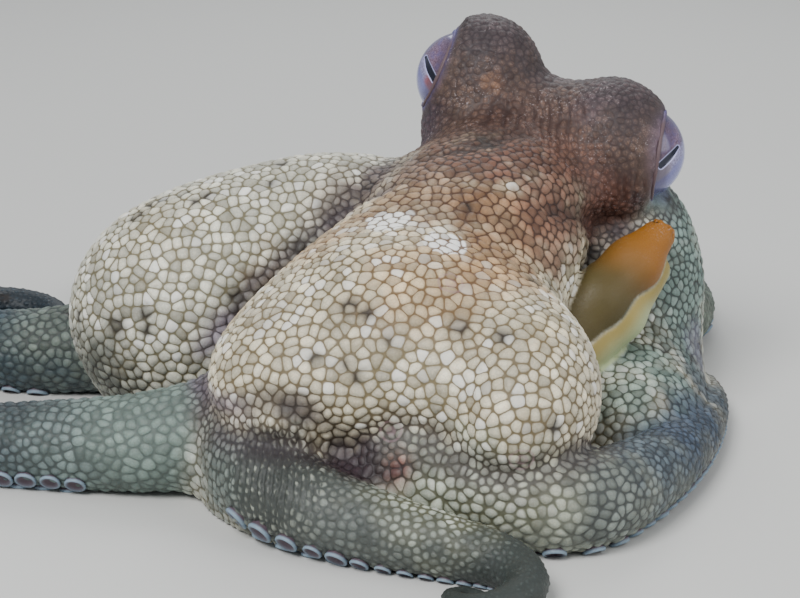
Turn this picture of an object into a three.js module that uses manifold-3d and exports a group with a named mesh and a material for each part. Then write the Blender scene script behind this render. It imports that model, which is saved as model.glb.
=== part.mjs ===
// A common octopus at rest on the floor, life size, in millimetres.
// +X is the animal's right, +Y the way it faces and +Z is up. The floor is z = 0.
import * as THREE from 'three';
import { mergeVertices } from 'three/addons/utils/BufferGeometryUtils.js';
import Module from 'manifold-3d';

const wasm = await Module();
wasm.setup();

// ---- sizes ----
const FOOT = { x: -27.1, y: 9 };      // middle of the footprint, moved to the origin at the end
const GAP = 0.4;                        // clear space kept between neighbouring solids
const MANTLE_GRID = 8.6;                // spacing of the mesh on the mantle and head
const WEB_GRID = 9;                   // and on the web
const ARM_SIDES = 9;
const TIP_SIDES = 8;
const TUBE_SIDES = 9;
const TIP_RADIUS = 1.3;

// Swellings of the head: the left eye bulge and its stalk, the right eye bulge, the bridge.
const HEAD_BLEND = 8;
const HEAD = [
  { centre: [23.8, 32, 90], radii: [17.2, 18, 19.5] },
  { centre: [22.5, 28, 76], radii: [17, 17, 17] },
  { centre: [58.2, 20, 72.5], radii: [19.2, 19.5, 21.5] },
  { centre: [42, 28, 77], radii: [16, 15, 13] },
];

// The neck runs down from the bridge into the mantle.
const NECK_BLEND = 12;
const NECK = [
  { at: [38, 22, 68], radius: 19 },
  { at: [24, 2, 57], radius: 22 },
  { at: [14, -14, 50], radius: 23 },
];

// The mantle sac: shoulder, main sac, left lobe and right lobe.
const MANTLE_BLEND = 10;
const MANTLE_TO_HEAD = 26;
const MANTLE = [
  { centre: [17, -18, 51], radii: [26, 24, 21] },
  { centre: [1, -46, 40], radii: [37, 40, 29] },
  { centre: [-24, -57, 32], radii: [24, 30, 21] },
  { centre: [26, -66, 32], radii: [23.5, 35, 25] },
];

// The web that joins the arms: middle, big left fold, its shoulder, right flank, skirt,
// right skirt, pad under the mantle and the fold at its left.
const WEB_BLEND = 18;
const WEB = [
  { centre: [8, 24, 34], radii: [46, 34, 30] },
  { centre: [-55, 0, 34], radii: [34.5, 30, 31], roll: -20 },
  { centre: [-22, 8, 47], radii: [36, 24, 26], roll: -10 },
  { centre: [61, 29, 30], radii: [25, 28, 37] },
  { centre: [2, 22, 0], radii: [80, 60, 23] },
  { centre: [60, -14, 0], radii: [24, 40, 25] },
  { centre: [-4, -56, 0], radii: [42, 36, 26] },
  { centre: [-31, -56, 14], radii: [14, 14, 20] },
];

// Arms: way points on the floor, radius at the root, curl of the tip (turn and the room it
// takes), height of the root over the floor and the distance at which the arm leaves the web.
const ARM_BLEND = 14;
const ARM_BLEND_REACH = 90;
const ROOT_REACH = 60;
const SINK = 0.92;                      // height of an arm's axis over the floor, of its radius
const ARMS = {
  left_1: {
    way: [[-12, 40], [-26, 74], [-50, 98], [-80, 104]],
    radius: 14, curl: { side: -1, turns: 1.7, room: 66 }, lift: 26, leaves: 54,
  },
  left_2: {
    way: [[-44, 24], [-82, 30], [-112, 34], [-138, 50], [-140, 76]],
    radius: 16, curl: { side: -1, turns: 1.6, room: 54 }, lift: 26, leaves: 62,
  },
  left_3: {
    way: [[-22, -40], [-52, -50], [-84, -46], [-116, -38], [-140, -20]],
    radius: 15.5, curl: { side: -1, turns: 1.6, room: 50 }, lift: 18, leaves: 66,
    besideWeb: true,
  },
  left_4: {
    way: [[-38, -50], [-30, -80], [-8, -97], [20, -110]],
    radius: 14.5, curl: { side: -1, turns: 1.3, room: 32 }, lift: 14, leaves: 20,
    underMantle: true, besideWeb: true,
  },
  right_4: {
    way: [[4, -72], [22, -86], [42, -88], [58, -69], [72, -42], [82, -14], [87, 8], [88, 24]],
    radius: 15, curl: { side: 1, turns: 0.5, room: 14 }, lift: 8, leaves: 10,
    underMantle: true, besideWeb: true,
  },
  right_3: {
    way: [[56, 34], [76, 56], [88, 82], [91, 106]],
    radius: 14, curl: { side: 1, turns: 1.45, room: 46 }, lift: 26, leaves: 46,
  },
  right_2: {
    way: [[38, 42], [46, 74], [46, 102], [38, 126]],
    radius: 14, curl: { side: 1, turns: 1.6, room: 52 }, lift: 26, leaves: 50,
  },
  right_1: {
    way: [[12, 46], [10, 78], [-6, 104], [-28, 120]],
    radius: 14, curl: { side: -1, turns: 1.6, room: 50 }, lift: 26, leaves: 50,
  },
};
// Each arm past the web is divided into lengths at these shares of what is left.
const LENGTHS = { base: [0, 0.3], mid: [0.3, 0.62], tip: [0.62, 1] };

// Eyes: where the middle of the eye meets the skin and the way it looks.
const EYE_RADIUS = 13;
const EYE_STANDS_OUT = 1.7;
const EYES = {
  eye_left: { at: [7.1, 30.6, 94.8], looks: [-0.93, -0.12, 0.35] },
  eye_right: { at: [75.1, 11.3, 74.2], looks: [0.88, -0.46, 0.08] },
};

// The funnel comes out of the mantle's opening, over the pale collar of the opening.
const FUNNEL = [
  { at: [40, -24, 30], radius: 9.4 },
  { at: [52, -17, 40.5], radius: 8.7 },
  { at: [62, -9, 48], radius: 7.6 },
  { at: [70, -2, 55], radius: 4.8 },
];
const COLLAR = [
  { at: [44, -24, 26.5], radius: 8.2 },
  { at: [58, -15, 36], radius: 7.2 },
  { at: [68, -5, 45.5], radius: 5 },
];
const FUNNEL_HOLE = { radii: [2.8, 2.8, 2.8], depth: 0.6 };
const FUNNEL_POCKET = { centre: [51, -16, 38], radii: [7, 9, 21], roll: 15 };

const COLOURS = {
  mantle: [0xc2b190, 0.62],
  head: [0x8a6a50, 0.6],
  web: [0xb9b196, 0.64],
  arm: [0xa39b80, 0.6],
  eye: [0x4a4c6b, 0.25],
  funnel: [0xb5761f, 0.45],
  funnel_collar: [0xc9c98a, 0.5],
};

// ---- fields: distance to a shape, negative inside ----
const FAR = 60;

function smoothMin(a, b, blend) {
  const h = Math.max(blend - Math.abs(a - b), 0) / blend;
  return Math.min(a, b) - h * h * blend * 0.25;
}

function ellipsoid({ centre, radii, roll = 0 }) {
  const turn = THREE.MathUtils.degToRad(roll);
  const [c, s] = [Math.cos(turn), Math.sin(turn)];
  return (x, y, z) => {
    const [dx, dy, dz] = [x - centre[0], y - centre[1], z - centre[2]];
    const q = [c * dx - s * dz, dy, s * dx + c * dz];
    const a = Math.hypot(q[0] / radii[0], q[1] / radii[1], q[2] / radii[2]);
    const b = Math.hypot(q[0] / radii[0] ** 2, q[1] / radii[1] ** 2, q[2] / radii[2] ** 2);
    return (a * (a - 1)) / Math.max(b, 1e-9);
  };
}

// A rod from a to b whose radius changes from one end to the other.
function rod(a, b, radiusA, radiusB) {
  const d = [b[0] - a[0], b[1] - a[1], b[2] - a[2]];
  const square = Math.max(d[0] ** 2 + d[1] ** 2 + d[2] ** 2, 1e-9);
  return (x, y, z) => {
    const e = [x - a[0], y - a[1], z - a[2]];
    const along = (e[0] * d[0] + e[1] * d[1] + e[2] * d[2]) / square;
    const t = Math.min(Math.max(along, 0), 1);
    const off = Math.hypot(e[0] - t * d[0], e[1] - t * d[1], e[2] - t * d[2]);
    return off - (radiusA + (radiusB - radiusA) * t);
  };
}

function chain(joints) {
  return joints.slice(1).map((end, i) => rod(joints[i].at, end.at, joints[i].radius, end.radius));
}

function blended(fields, blend) {
  return (x, y, z) => fields.reduce((v, field) => smoothMin(v, field(x, y, z), blend), FAR);
}

const headField = blended(HEAD.map(ellipsoid), HEAD_BLEND);
const neckRods = chain(NECK);
const mantleField = blended(MANTLE.map(ellipsoid), MANTLE_BLEND);

function bodyField(x, y, z) {
  const join = (v, field) => smoothMin(v, field(x, y, z), NECK_BLEND);
  const head = neckRods.reduce(join, headField(x, y, z));
  return smoothMin(head, mantleField(x, y, z), MANTLE_TO_HEAD);
}

// ---- arms: their axes ----
function smoothWay(points, steps) {
  const p = points.map(([x, y]) => [x, y]);
  p.unshift([2 * p[0][0] - p[1][0], 2 * p[0][1] - p[1][1]]);
  const [last, before] = [p[p.length - 1], p[p.length - 2]];
  p.push([2 * last[0] - before[0], 2 * last[1] - before[1]]);
  const out = [];
  for (let i = 1; i < p.length - 2; i++) {
    for (let j = 0; j < steps; j++) {
      const t = j / steps;
      out.push([0, 1].map((k) => {
        const [a, b, c, d] = [p[i - 1][k], p[i][k], p[i + 1][k], p[i + 2][k]];
        return 0.5 * (2 * b + (c - a) * t + (2 * a - 5 * b + 4 * c - d) * t ** 2
          + (3 * b - a - 3 * c + d) * t ** 3);
      }));
    }
  }
  out.push(last);
  return out;
}

// The tip winds up: its steps get shorter and its turning faster.
function curled(way, { side, turns, room }) {
  const steps = 40;
  const [end, before] = [way[way.length - 1], way[way.length - 2]];
  let angle = Math.atan2(end[1] - before[1], end[0] - before[0]);
  let [x, y] = end;
  const out = [...way];
  for (let i = 1; i <= steps; i++) {
    const f = i / steps;
    const length = (room * 2.8 / steps) * (1 - 0.65 * f);
    angle += ((side * 2 * Math.PI * turns) / steps) * (0.6 + 0.8 * f);
    x += length * Math.cos(angle);
    y += length * Math.sin(angle);
    out.push([x, y]);
  }
  return out;
}

function armAxis(spec) {
  const way = curled(smoothWay(spec.way, 16), spec.curl);
  const run = [0];
  for (let i = 1; i < way.length; i++) {
    run.push(run[i - 1] + Math.hypot(way[i][0] - way[i - 1][0], way[i][1] - way[i - 1][1]));
  }
  const total = run[run.length - 1];
  return {
    total,
    radiusAt(s) {
      return TIP_RADIUS + (spec.radius - TIP_RADIUS) * (1 - Math.min(s / total, 1)) ** 0.9;
    },
    at(s) {
      const d = Math.min(Math.max(s, 0), total);
      let i = 1;
      while (i < run.length - 1 && run[i] < d) i++;
      const t = (d - run[i - 1]) / Math.max(run[i] - run[i - 1], 1e-9);
      const rise = spec.lift * Math.max(1 - d / ROOT_REACH, 0) ** 2;
      return [
        way[i - 1][0] + (way[i][0] - way[i - 1][0]) * t,
        way[i - 1][1] + (way[i][1] - way[i - 1][1]) * t,
        this.radiusAt(d) * SINK + rise * 0.5,
      ];
    },
    heading(s) {
      const [a, b] = [this.at(s - 1.5), this.at(s + 1.5)];
      const length = Math.hypot(b[0] - a[0], b[1] - a[1]);
      return [(b[0] - a[0]) / length, (b[1] - a[1]) / length];
    },
  };
}

const axes = Object.fromEntries(Object.entries(ARMS).map(([name, spec]) => [name, armAxis(spec)]));

// ---- the web with the root of each arm ----
const ROD_LENGTH = 6;

function rootRods(name) {
  const axis = axes[name];
  const end = ARMS[name].leaves + 12;
  const rods = [];
  for (let s = 0; s < end; s += ROD_LENGTH) {
    const next = s + ROD_LENGTH;
    const field = rod(axis.at(s), axis.at(next), axis.radiusAt(s), axis.radiusAt(next));
    const blend = ARM_BLEND * Math.max(1 - s / ARM_BLEND_REACH, 0.04);
    rods.push({ field, blend });
  }
  return rods;
}

const webBase = blended(WEB.map(ellipsoid), WEB_BLEND);
const rooted = Object.keys(ARMS).filter((name) => !ARMS[name].underMantle);
const roots = rooted.map(rootRods);

function webField(x, y, z) {
  const base = webBase(x, y, z);
  return roots.reduce((v, rods) => {
    const near = rods.reduce((best, { field, blend }) => {
      const d = field(x, y, z);
      return d < best.d ? { d, blend } : best;
    }, { d: FAR, blend: 1 });
    return smoothMin(v, smoothMin(base, near.d, near.blend), 1.2);
  }, base);
}

// ---- meshing a field: one point in each crossed cell, drawn on to the surface ----
function settle(field, p, reach) {
  const e = 0.2;
  const q = [...p];
  for (let pass = 0; pass < 4; pass++) {
    const f = field(...q);
    const g = [0, 1, 2].map((k) => {
      const [a, b] = [[...q], [...q]];
      a[k] -= e;
      b[k] += e;
      return (field(...b) - field(...a)) / (2 * e);
    });
    const square = Math.max(g[0] ** 2 + g[1] ** 2 + g[2] ** 2, 0.05);
    for (let k = 0; k < 3; k++) q[k] -= (f * g[k]) / square;
  }
  const moved = Math.hypot(q[0] - p[0], q[1] - p[1], q[2] - p[2]);
  return moved < reach ? q : p;
}

// The corners round each side of a cell.
const CELL_SIDES = [
  [0, 1, 3, 2], [4, 5, 7, 6], [0, 1, 5, 4], [2, 3, 7, 6], [0, 2, 6, 4], [1, 3, 7, 5],
];

// Where two parts of a shape touch only along an edge or at a corner of the mesh's cells, the
// cell beside them is filled, so that the mesh stays closed and simple.
function fillPinches(values, n, index) {
  const filled = -0.05;
  for (let changed = true; changed;) {
    changed = false;
    for (let i = 0; i < n[0] - 1; i++) {
      for (let j = 0; j < n[1] - 1; j++) {
        for (let k = 0; k < n[2] - 1; k++) {
          const corner = (m) => index(i + (m & 1), j + ((m >> 1) & 1), k + (m >> 2));
          const inside = (m) => values[corner(m)] < 0;
          for (const [a, b, c, d] of CELL_SIDES) {
            if (inside(a) !== inside(c) || inside(b) !== inside(d) || inside(a) === inside(b)) continue;
            const [e, f] = inside(a) ? [b, d] : [a, c];
            values[values[corner(e)] < values[corner(f)] ? corner(e) : corner(f)] = filled;
            changed = true;
          }
          for (let m = 0; m < 4; m++) {
            const rest = [0, 1, 2, 3, 4, 5, 6, 7].filter((v) => v !== m && v !== 7 - m);
            if (inside(m) !== inside(7 - m) || rest.some((v) => inside(v) === inside(m))) continue;
            values[corner(inside(m) ? rest[0] : m)] = filled;
            changed = true;
          }
        }
      }
    }
  }
}

function meshOf(field, low, high, step) {
  const n = low.map((v, k) => Math.ceil((high[k] - v) / step) + 1);
  const index = (i, j, k) => (i * n[1] + j) * n[2] + k;
  const values = new Float64Array(n[0] * n[1] * n[2]);
  for (let i = 0; i < n[0]; i++) {
    for (let j = 0; j < n[1]; j++) {
      for (let k = 0; k < n[2]; k++) {
        values[index(i, j, k)] = field(low[0] + i * step, low[1] + j * step, low[2] + k * step);
      }
    }
  }
  fillPinches(values, n, index);
  const points = [];
  const cellPoint = new Int32Array(values.length).fill(-1);
  for (let i = 0; i < n[0] - 1; i++) {
    for (let j = 0; j < n[1] - 1; j++) {
      for (let k = 0; k < n[2] - 1; k++) {
        const sum = [0, 0, 0];
        let count = 0;
        for (let corner = 0; corner < 8; corner++) {
          const a = [corner & 1, (corner >> 1) & 1, corner >> 2];
          for (let axis = 0; axis < 3; axis++) {
            if (a[axis]) continue;
            const b = a.map((v, m) => (m === axis ? 1 : v));
            const va = values[index(i + a[0], j + a[1], k + a[2])];
            const vb = values[index(i + b[0], j + b[1], k + b[2])];
            if ((va < 0) === (vb < 0)) continue;
            const t = va / (va - vb);
            for (let m = 0; m < 3; m++) sum[m] += a[m] + (m === axis ? t : 0);
            count++;
          }
        }
        if (!count) continue;
        const p = [i, j, k].map((v, m) => low[m] + (v + sum[m] / count) * step);
        cellPoint[index(i, j, k)] = points.length;
        points.push(settle(field, p, step * 0.6));
      }
    }
  }
  const faces = [];
  for (let axis = 0; axis < 3; axis++) {
    const [u, w] = [(axis + 1) % 3, (axis + 2) % 3];
    const at = [0, 0, 0];
    for (at[axis] = 0; at[axis] < n[axis] - 1; at[axis]++) {
      for (at[u] = 1; at[u] < n[u] - 1; at[u]++) {
        for (at[w] = 1; at[w] < n[w] - 1; at[w]++) {
          const next = at.map((v, m) => (m === axis ? v + 1 : v));
          const inside = values[index(...at)] < 0;
          if (inside === values[index(...next)] < 0) continue;
          const cell = (du, dw) => {
            const c = [...at];
            c[u] -= du;
            c[w] -= dw;
            return cellPoint[index(...c)];
          };
          const quad = [cell(1, 1), cell(0, 1), cell(0, 0), cell(1, 0)];
          if (!inside) quad.reverse();
          faces.push(...splitQuad(points, quad));
        }
      }
    }
  }
  return { points, faces };
}

// A four-sided face is cut along its shorter diagonal.
function splitQuad(points, [a, b, c, d]) {
  const length = (p, q) => Math.hypot(...[0, 1, 2].map((k) => points[p][k] - points[q][k]));
  if (length(a, c) <= length(b, d)) return [[a, b, c], [a, c, d]];
  return [[a, b, d], [b, c, d]];
}

// The same mesh, every point moved out along the surface.
function grown({ points, faces }, by) {
  const normals = points.map(() => new THREE.Vector3());
  for (const face of faces) {
    const [a, b, c] = face.map((i) => new THREE.Vector3(...points[i]));
    const normal = b.sub(a).cross(c.sub(a));
    for (const i of face) normals[i].add(normal);
  }
  const moved = points.map((p, i) => {
    const n = normals[i].normalize();
    return [p[0] + n.x * by, p[1] + n.y * by, p[2] + n.z * by];
  });
  return { points: moved, faces };
}

// ---- solids ----
function solidOf({ points, faces }) {
  return new wasm.Manifold(new wasm.Mesh({
    numProp: 3,
    vertProperties: Float32Array.from(points.flat()),
    triVerts: Uint32Array.from(faces.flat()),
  }));
}

function solidOfGeometry(geometry) {
  const bare = geometry.clone();
  bare.deleteAttribute('normal');
  bare.deleteAttribute('uv');
  const merged = mergeVertices(bare, 1e-4);
  const triVerts = Uint32Array.from(merged.index.array);
  return new wasm.Manifold(new wasm.Mesh({
    numProp: 3,
    vertProperties: Float32Array.from(merged.attributes.position.array),
    triVerts,
  }));
}

function boxSolid(size, centre, direction = [1, 0]) {
  const geometry = new THREE.BoxGeometry(...size);
  geometry.rotateZ(Math.atan2(direction[1], direction[0]));
  geometry.translate(...centre);
  return solidOfGeometry(geometry);
}

// A slab across a slanting line, for thin cuts.
function slab(centre, normal, thickness, side) {
  const geometry = new THREE.BoxGeometry(side, side, thickness);
  const turn = new THREE.Quaternion().setFromUnitVectors(
    new THREE.Vector3(0, 0, 1), new THREE.Vector3(...normal).normalize(),
  );
  geometry.applyQuaternion(turn);
  geometry.translate(...centre);
  return solidOfGeometry(geometry);
}

function ballSolid(radii, centre, roll = 0, round = 14) {
  const geometry = new THREE.SphereGeometry(1, round, Math.round(round / 2));
  geometry.scale(...radii);
  geometry.rotateY(THREE.MathUtils.degToRad(roll));
  geometry.translate(...centre);
  return solidOfGeometry(geometry);
}

// A bent tube with rounded ends through a chain of joints.
function tubeSolid(joints, grow = 0) {
  const curve = new THREE.CatmullRomCurve3(joints.map(({ at }) => new THREE.Vector3(...at)));
  const radiusAt = (t) => {
    const place = Math.min(t * (joints.length - 1), joints.length - 1.001);
    const i = Math.floor(place);
    return joints[i].radius + (joints[i + 1].radius - joints[i].radius) * (place - i) + grow;
  };
  const stations = [];
  const dome = [0.3, 0.8];
  for (const share of dome) {
    const radius = radiusAt(0);
    stations.push({ t: 0, shift: -radius * Math.sqrt(1 - share ** 2), radius: radius * share });
  }
  const steps = 5;
  for (let i = 0; i <= steps; i++) {
    stations.push({ t: i / steps, shift: 0, radius: radiusAt(i / steps) });
  }
  for (const share of [...dome].reverse()) {
    const radius = radiusAt(1);
    stations.push({ t: 1, shift: radius * Math.sqrt(1 - share ** 2), radius: radius * share });
  }
  const points = [];
  for (const { t, shift, radius } of stations) {
    const tangent = curve.getTangentAt(t);
    const side = new THREE.Vector3(0, 0, 1).cross(tangent).normalize();
    const up = tangent.clone().cross(side);
    const middle = curve.getPointAt(t).addScaledVector(tangent, shift);
    for (let i = 0; i < TUBE_SIDES; i++) {
      const angle = (i * 2 * Math.PI) / TUBE_SIDES;
      const point = middle.clone().addScaledVector(side, radius * Math.cos(angle));
      points.push(point.addScaledVector(up, radius * Math.sin(angle)).toArray());
    }
  }
  return solidOf({ points, faces: ringFaces(stations.length, TUBE_SIDES) });
}

// Faces round a row of rings, closed at both ends.
function ringFaces(rings, sides) {
  const faces = [];
  for (let ring = 0; ring < rings - 1; ring++) {
    for (let i = 0; i < sides; i++) {
      const j = (i + 1) % sides;
      const [a, b] = [ring * sides + i, ring * sides + j];
      const [c, d] = [a + sides, b + sides];
      faces.push([a, b, d], [a, d, c]);
    }
  }
  const last = (rings - 1) * sides;
  for (let i = 1; i < sides - 1; i++) faces.push([0, i + 1, i], [last, last + i, last + i + 1]);
  return faces;
}

// A length of an arm. Where it lies on the floor its underside is a narrow flat at z = 0.
function armSolid(name, from, to, sides, grow = 0) {
  const axis = axes[name];
  const stops = [];
  for (let s = from; s < to - 1; s += Math.min(axis.radiusAt(s) * 0.95 + 1.8, 11)) stops.push(s);
  stops.push(to);
  const half = Math.acos(SINK);
  const points = [];
  stops.forEach((s, ring) => {
    const [x, y, z] = axis.at(s);
    const [tx, ty] = axis.heading(s);
    const radius = axis.radiusAt(s) + grow;
    const shift = ring === stops.length - 1 ? grow : 0;
    for (let i = 0; i < sides; i++) {
      const angle = -Math.PI / 2 - half - (i * 2 * (Math.PI - half)) / (sides - 1);
      const out = radius * Math.cos(angle);
      const height = z + radius * Math.sin(angle);
      const low = grow ? height : Math.max(height, 0);
      points.push([x + tx * shift + ty * out, y + ty * shift - tx * out, low]);
    }
  });
  return solidOf({ points, faces: ringFaces(stops.length, sides) });
}

// Only the largest closed body of a cut solid is kept.
function largestBody(solid) {
  const mesh = solid.getMesh();
  const parent = Array.from({ length: mesh.vertProperties.length / mesh.numProp }, (_, i) => i);
  const rootOf = (i) => {
    let r = i;
    while (parent[r] !== r) {
      parent[r] = parent[parent[r]];
      r = parent[r];
    }
    return r;
  };
  const tri = mesh.triVerts;
  for (let t = 0; t < tri.length; t += 3) {
    parent[rootOf(tri[t])] = rootOf(tri[t + 1]);
    parent[rootOf(tri[t + 1])] = rootOf(tri[t + 2]);
  }
  const position = (i) => {
    const from = i * mesh.numProp;
    return Array.from(mesh.vertProperties.slice(from, from + 3));
  };
  const volumes = new Map();
  for (let t = 0; t < tri.length; t += 3) {
    const [a, b, c] = [0, 1, 2].map((k) => new THREE.Vector3(...position(tri[t + k])));
    const body = rootOf(tri[t]);
    volumes.set(body, (volumes.get(body) ?? 0) + a.dot(b.cross(c)) / 6);
  }
  const main = [...volumes].sort((a, b) => b[1] - a[1])[0][0];
  const points = [];
  const faces = [];
  const place = new Map();
  for (let t = 0; t < tri.length; t += 3) {
    if (rootOf(tri[t]) !== main) continue;
    faces.push([0, 1, 2].map((k) => {
      const i = tri[t + k];
      if (!place.has(i)) {
        place.set(i, points.length);
        points.push(position(i));
      }
      return place.get(i);
    }));
  }
  return { points, faces };
}

// ---- building ----
const solids = {};

const bodyMesh = meshOf(bodyField, [-60, -116, -4], [92, 62, 122], MANTLE_GRID);
const bodyGrown = solidOf(grown(bodyMesh, GAP));
const pocket = ballSolid(FUNNEL_POCKET.radii, FUNNEL_POCKET.centre, FUNNEL_POCKET.roll);
let body = solidOf(bodyMesh).subtract(pocket);

const eyeCentre = ({ at, looks }) => {
  const length = Math.hypot(...looks);
  return at.map((v, k) => v + (looks[k] / length) * (EYE_STANDS_OUT - EYE_RADIUS));
};
for (const [name, eye] of Object.entries(EYES)) {
  const centre = eyeCentre(eye);
  solids[name] = ballSolid([EYE_RADIUS, EYE_RADIUS, EYE_RADIUS], centre);
  const socket = EYE_RADIUS + GAP;
  body = body.subtract(ballSolid([socket, socket, socket], centre));
}

// One thin cut across the neck divides the head from the mantle.
const NECK_CUT = { centre: [27, 6, 60], along: [0.51, 0.77, 0.38] };
const across = new THREE.Vector3(...NECK_CUT.along).normalize();
const sideOf = (sign) => {
  const depth = 200;
  const off = sign * (depth / 2 - GAP / 2);
  const middle = NECK_CUT.centre.map((v, k) => v + across.getComponent(k) * off);
  return slab(middle, NECK_CUT.along, depth, 400);
};
solids.mantle = body.subtract(sideOf(1));
solids.head = body.subtract(sideOf(-1));

const webMesh = meshOf(webField, [-134, -134, -40], [124, 124, 92], WEB_GRID);
let web = solidOf(webMesh).subtract(boxSolid([400, 400, 60], [0, 0, -30]));
web = web.subtract(bodyGrown).subtract(pocket);
for (const name of rooted) {
  const axis = axes[name];
  const { leaves } = ARMS[name];
  const [x, y, z] = axis.at(leaves);
  const [tx, ty] = axis.heading(leaves);
  const reach = 26;
  const width = 2 * axis.radiusAt(leaves) + 9;
  const middle = [x + (tx * reach) / 2, y + (ty * reach) / 2, z];
  web = web.subtract(boxSolid([reach, width, 80], middle, [tx, ty]));
}

for (const [name, spec] of Object.entries(ARMS)) {
  const axis = axes[name];
  const free = axis.total - spec.leaves;
  for (const [part, [from, to]] of Object.entries(LENGTHS)) {
    const sides = part === 'tip' ? TIP_SIDES : ARM_SIDES;
    const ends = [spec.leaves + GAP + from * free, spec.leaves + to * free];
    let length = armSolid(name, ...ends, sides);
    if (spec.underMantle) length = length.subtract(bodyGrown);
    solids[`arm_${name}_${part}`] = length;
    if (spec.besideWeb) web = web.subtract(armSolid(name, ...ends, sides, GAP));
  }
}

const funnelRoom = tubeSolid(FUNNEL, GAP);
const [funnelNeck, funnelTip] = FUNNEL.slice(-2);
const funnelEnd = new THREE.Vector3(...funnelTip.at);
const funnelWay = funnelEnd.clone().sub(new THREE.Vector3(...funnelNeck.at)).normalize();
funnelEnd.addScaledVector(funnelWay, funnelTip.radius - FUNNEL_HOLE.depth);
const funnelHole = ballSolid(FUNNEL_HOLE.radii, funnelEnd.toArray(), 0, 10);
solids.funnel = tubeSolid(FUNNEL).subtract(bodyGrown).subtract(funnelHole);
solids.funnel_collar = tubeSolid(COLLAR).subtract(bodyGrown).subtract(funnelRoom);
solids.web = web.subtract(funnelRoom).subtract(tubeSolid(COLLAR, GAP));

const group = new THREE.Group();
group.name = 'octopus';
for (const [name, solid] of Object.entries(solids)) {
  const { points, faces } = largestBody(solid);
  const geometry = new THREE.BufferGeometry();
  geometry.setAttribute('position', new THREE.Float32BufferAttribute(points.flat(), 3));
  geometry.setIndex(faces.flat());
  geometry.translate(-FOOT.x, -FOOT.y, 0);
  geometry.computeVertexNormals();
  const [color, roughness] = COLOURS[name] ?? COLOURS[name.split('_')[0]];
  const material = new THREE.MeshStandardMaterial({ color, roughness, metalness: 0 });
  const mesh = new THREE.Mesh(geometry, material);
  mesh.name = name;
  group.add(mesh);
}

export default group;
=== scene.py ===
"""A common octopus at rest, life size, seen from behind.

Lengths are in millimetres in the animal's own frame until a mesh is made: +X is the animal's right,
+Y the way it faces, +Z up, and the floor is z = 0. FOOT moves that frame to the row frame, in metres.
"""
import math
from functools import partial, reduce

import bpy
import numpy as np
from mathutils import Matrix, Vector
from mathutils.kdtree import KDTree


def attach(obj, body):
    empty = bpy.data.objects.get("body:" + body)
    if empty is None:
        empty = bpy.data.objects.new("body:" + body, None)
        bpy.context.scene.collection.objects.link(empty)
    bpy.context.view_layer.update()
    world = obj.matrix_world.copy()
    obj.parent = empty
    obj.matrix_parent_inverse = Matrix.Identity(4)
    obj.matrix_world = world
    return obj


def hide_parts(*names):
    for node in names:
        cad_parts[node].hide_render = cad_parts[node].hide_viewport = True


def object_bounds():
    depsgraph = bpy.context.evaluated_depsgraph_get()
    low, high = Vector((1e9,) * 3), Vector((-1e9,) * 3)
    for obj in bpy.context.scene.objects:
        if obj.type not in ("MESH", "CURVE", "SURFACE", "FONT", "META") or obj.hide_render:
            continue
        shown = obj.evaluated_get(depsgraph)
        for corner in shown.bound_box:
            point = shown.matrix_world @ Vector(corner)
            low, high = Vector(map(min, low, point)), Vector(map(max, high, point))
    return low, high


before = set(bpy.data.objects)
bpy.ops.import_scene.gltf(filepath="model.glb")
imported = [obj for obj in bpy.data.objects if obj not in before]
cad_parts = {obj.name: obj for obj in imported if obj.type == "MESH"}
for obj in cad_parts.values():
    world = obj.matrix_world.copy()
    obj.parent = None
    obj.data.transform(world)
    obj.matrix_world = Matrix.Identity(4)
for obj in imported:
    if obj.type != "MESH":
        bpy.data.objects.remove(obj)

cad_low, cad_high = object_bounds()

# ---- sizes, the same as those of the solids ----
FOOT = np.array([-27.1, 9.0, 0.0])
MM = 0.001
FAR = 60.0

HEAD_BLEND = 8
HEAD = [
    ((23.8, 32, 90), (17.2, 18, 19.5)),
    ((22.5, 28, 76), (17, 17, 17)),
    ((58.2, 20, 72.5), (19.2, 19.5, 21.5)),
    ((42, 28, 77), (16, 15, 13)),
]
NECK_BLEND = 12
NECK = [((38, 22, 68), 19), ((24, 2, 57), 22), ((14, -14, 50), 23)]
MANTLE_BLEND = 10
MANTLE_TO_HEAD = 26
MANTLE = [
    ((17, -18, 51), (26, 24, 21)),
    ((1, -46, 40), (37, 40, 29)),
    ((-24, -57, 32), (24, 30, 21)),
    ((26, -66, 32), (23.5, 35, 25)),
]
WEB_BLEND = 18
WEB = [
    ((8, 24, 34), (46, 34, 30), 0),
    ((-55, 0, 34), (34.5, 30, 31), -20),
    ((-22, 8, 47), (36, 24, 26), -10),
    ((61, 29, 30), (25, 28, 37), 0),
    ((2, 22, 0), (80, 60, 23), 0),
    ((60, -14, 0), (24, 40, 25), 0),
    ((-4, -56, 0), (42, 36, 26), 0),
    ((-31, -56, 14), (14, 14, 20), 0),
]

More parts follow.
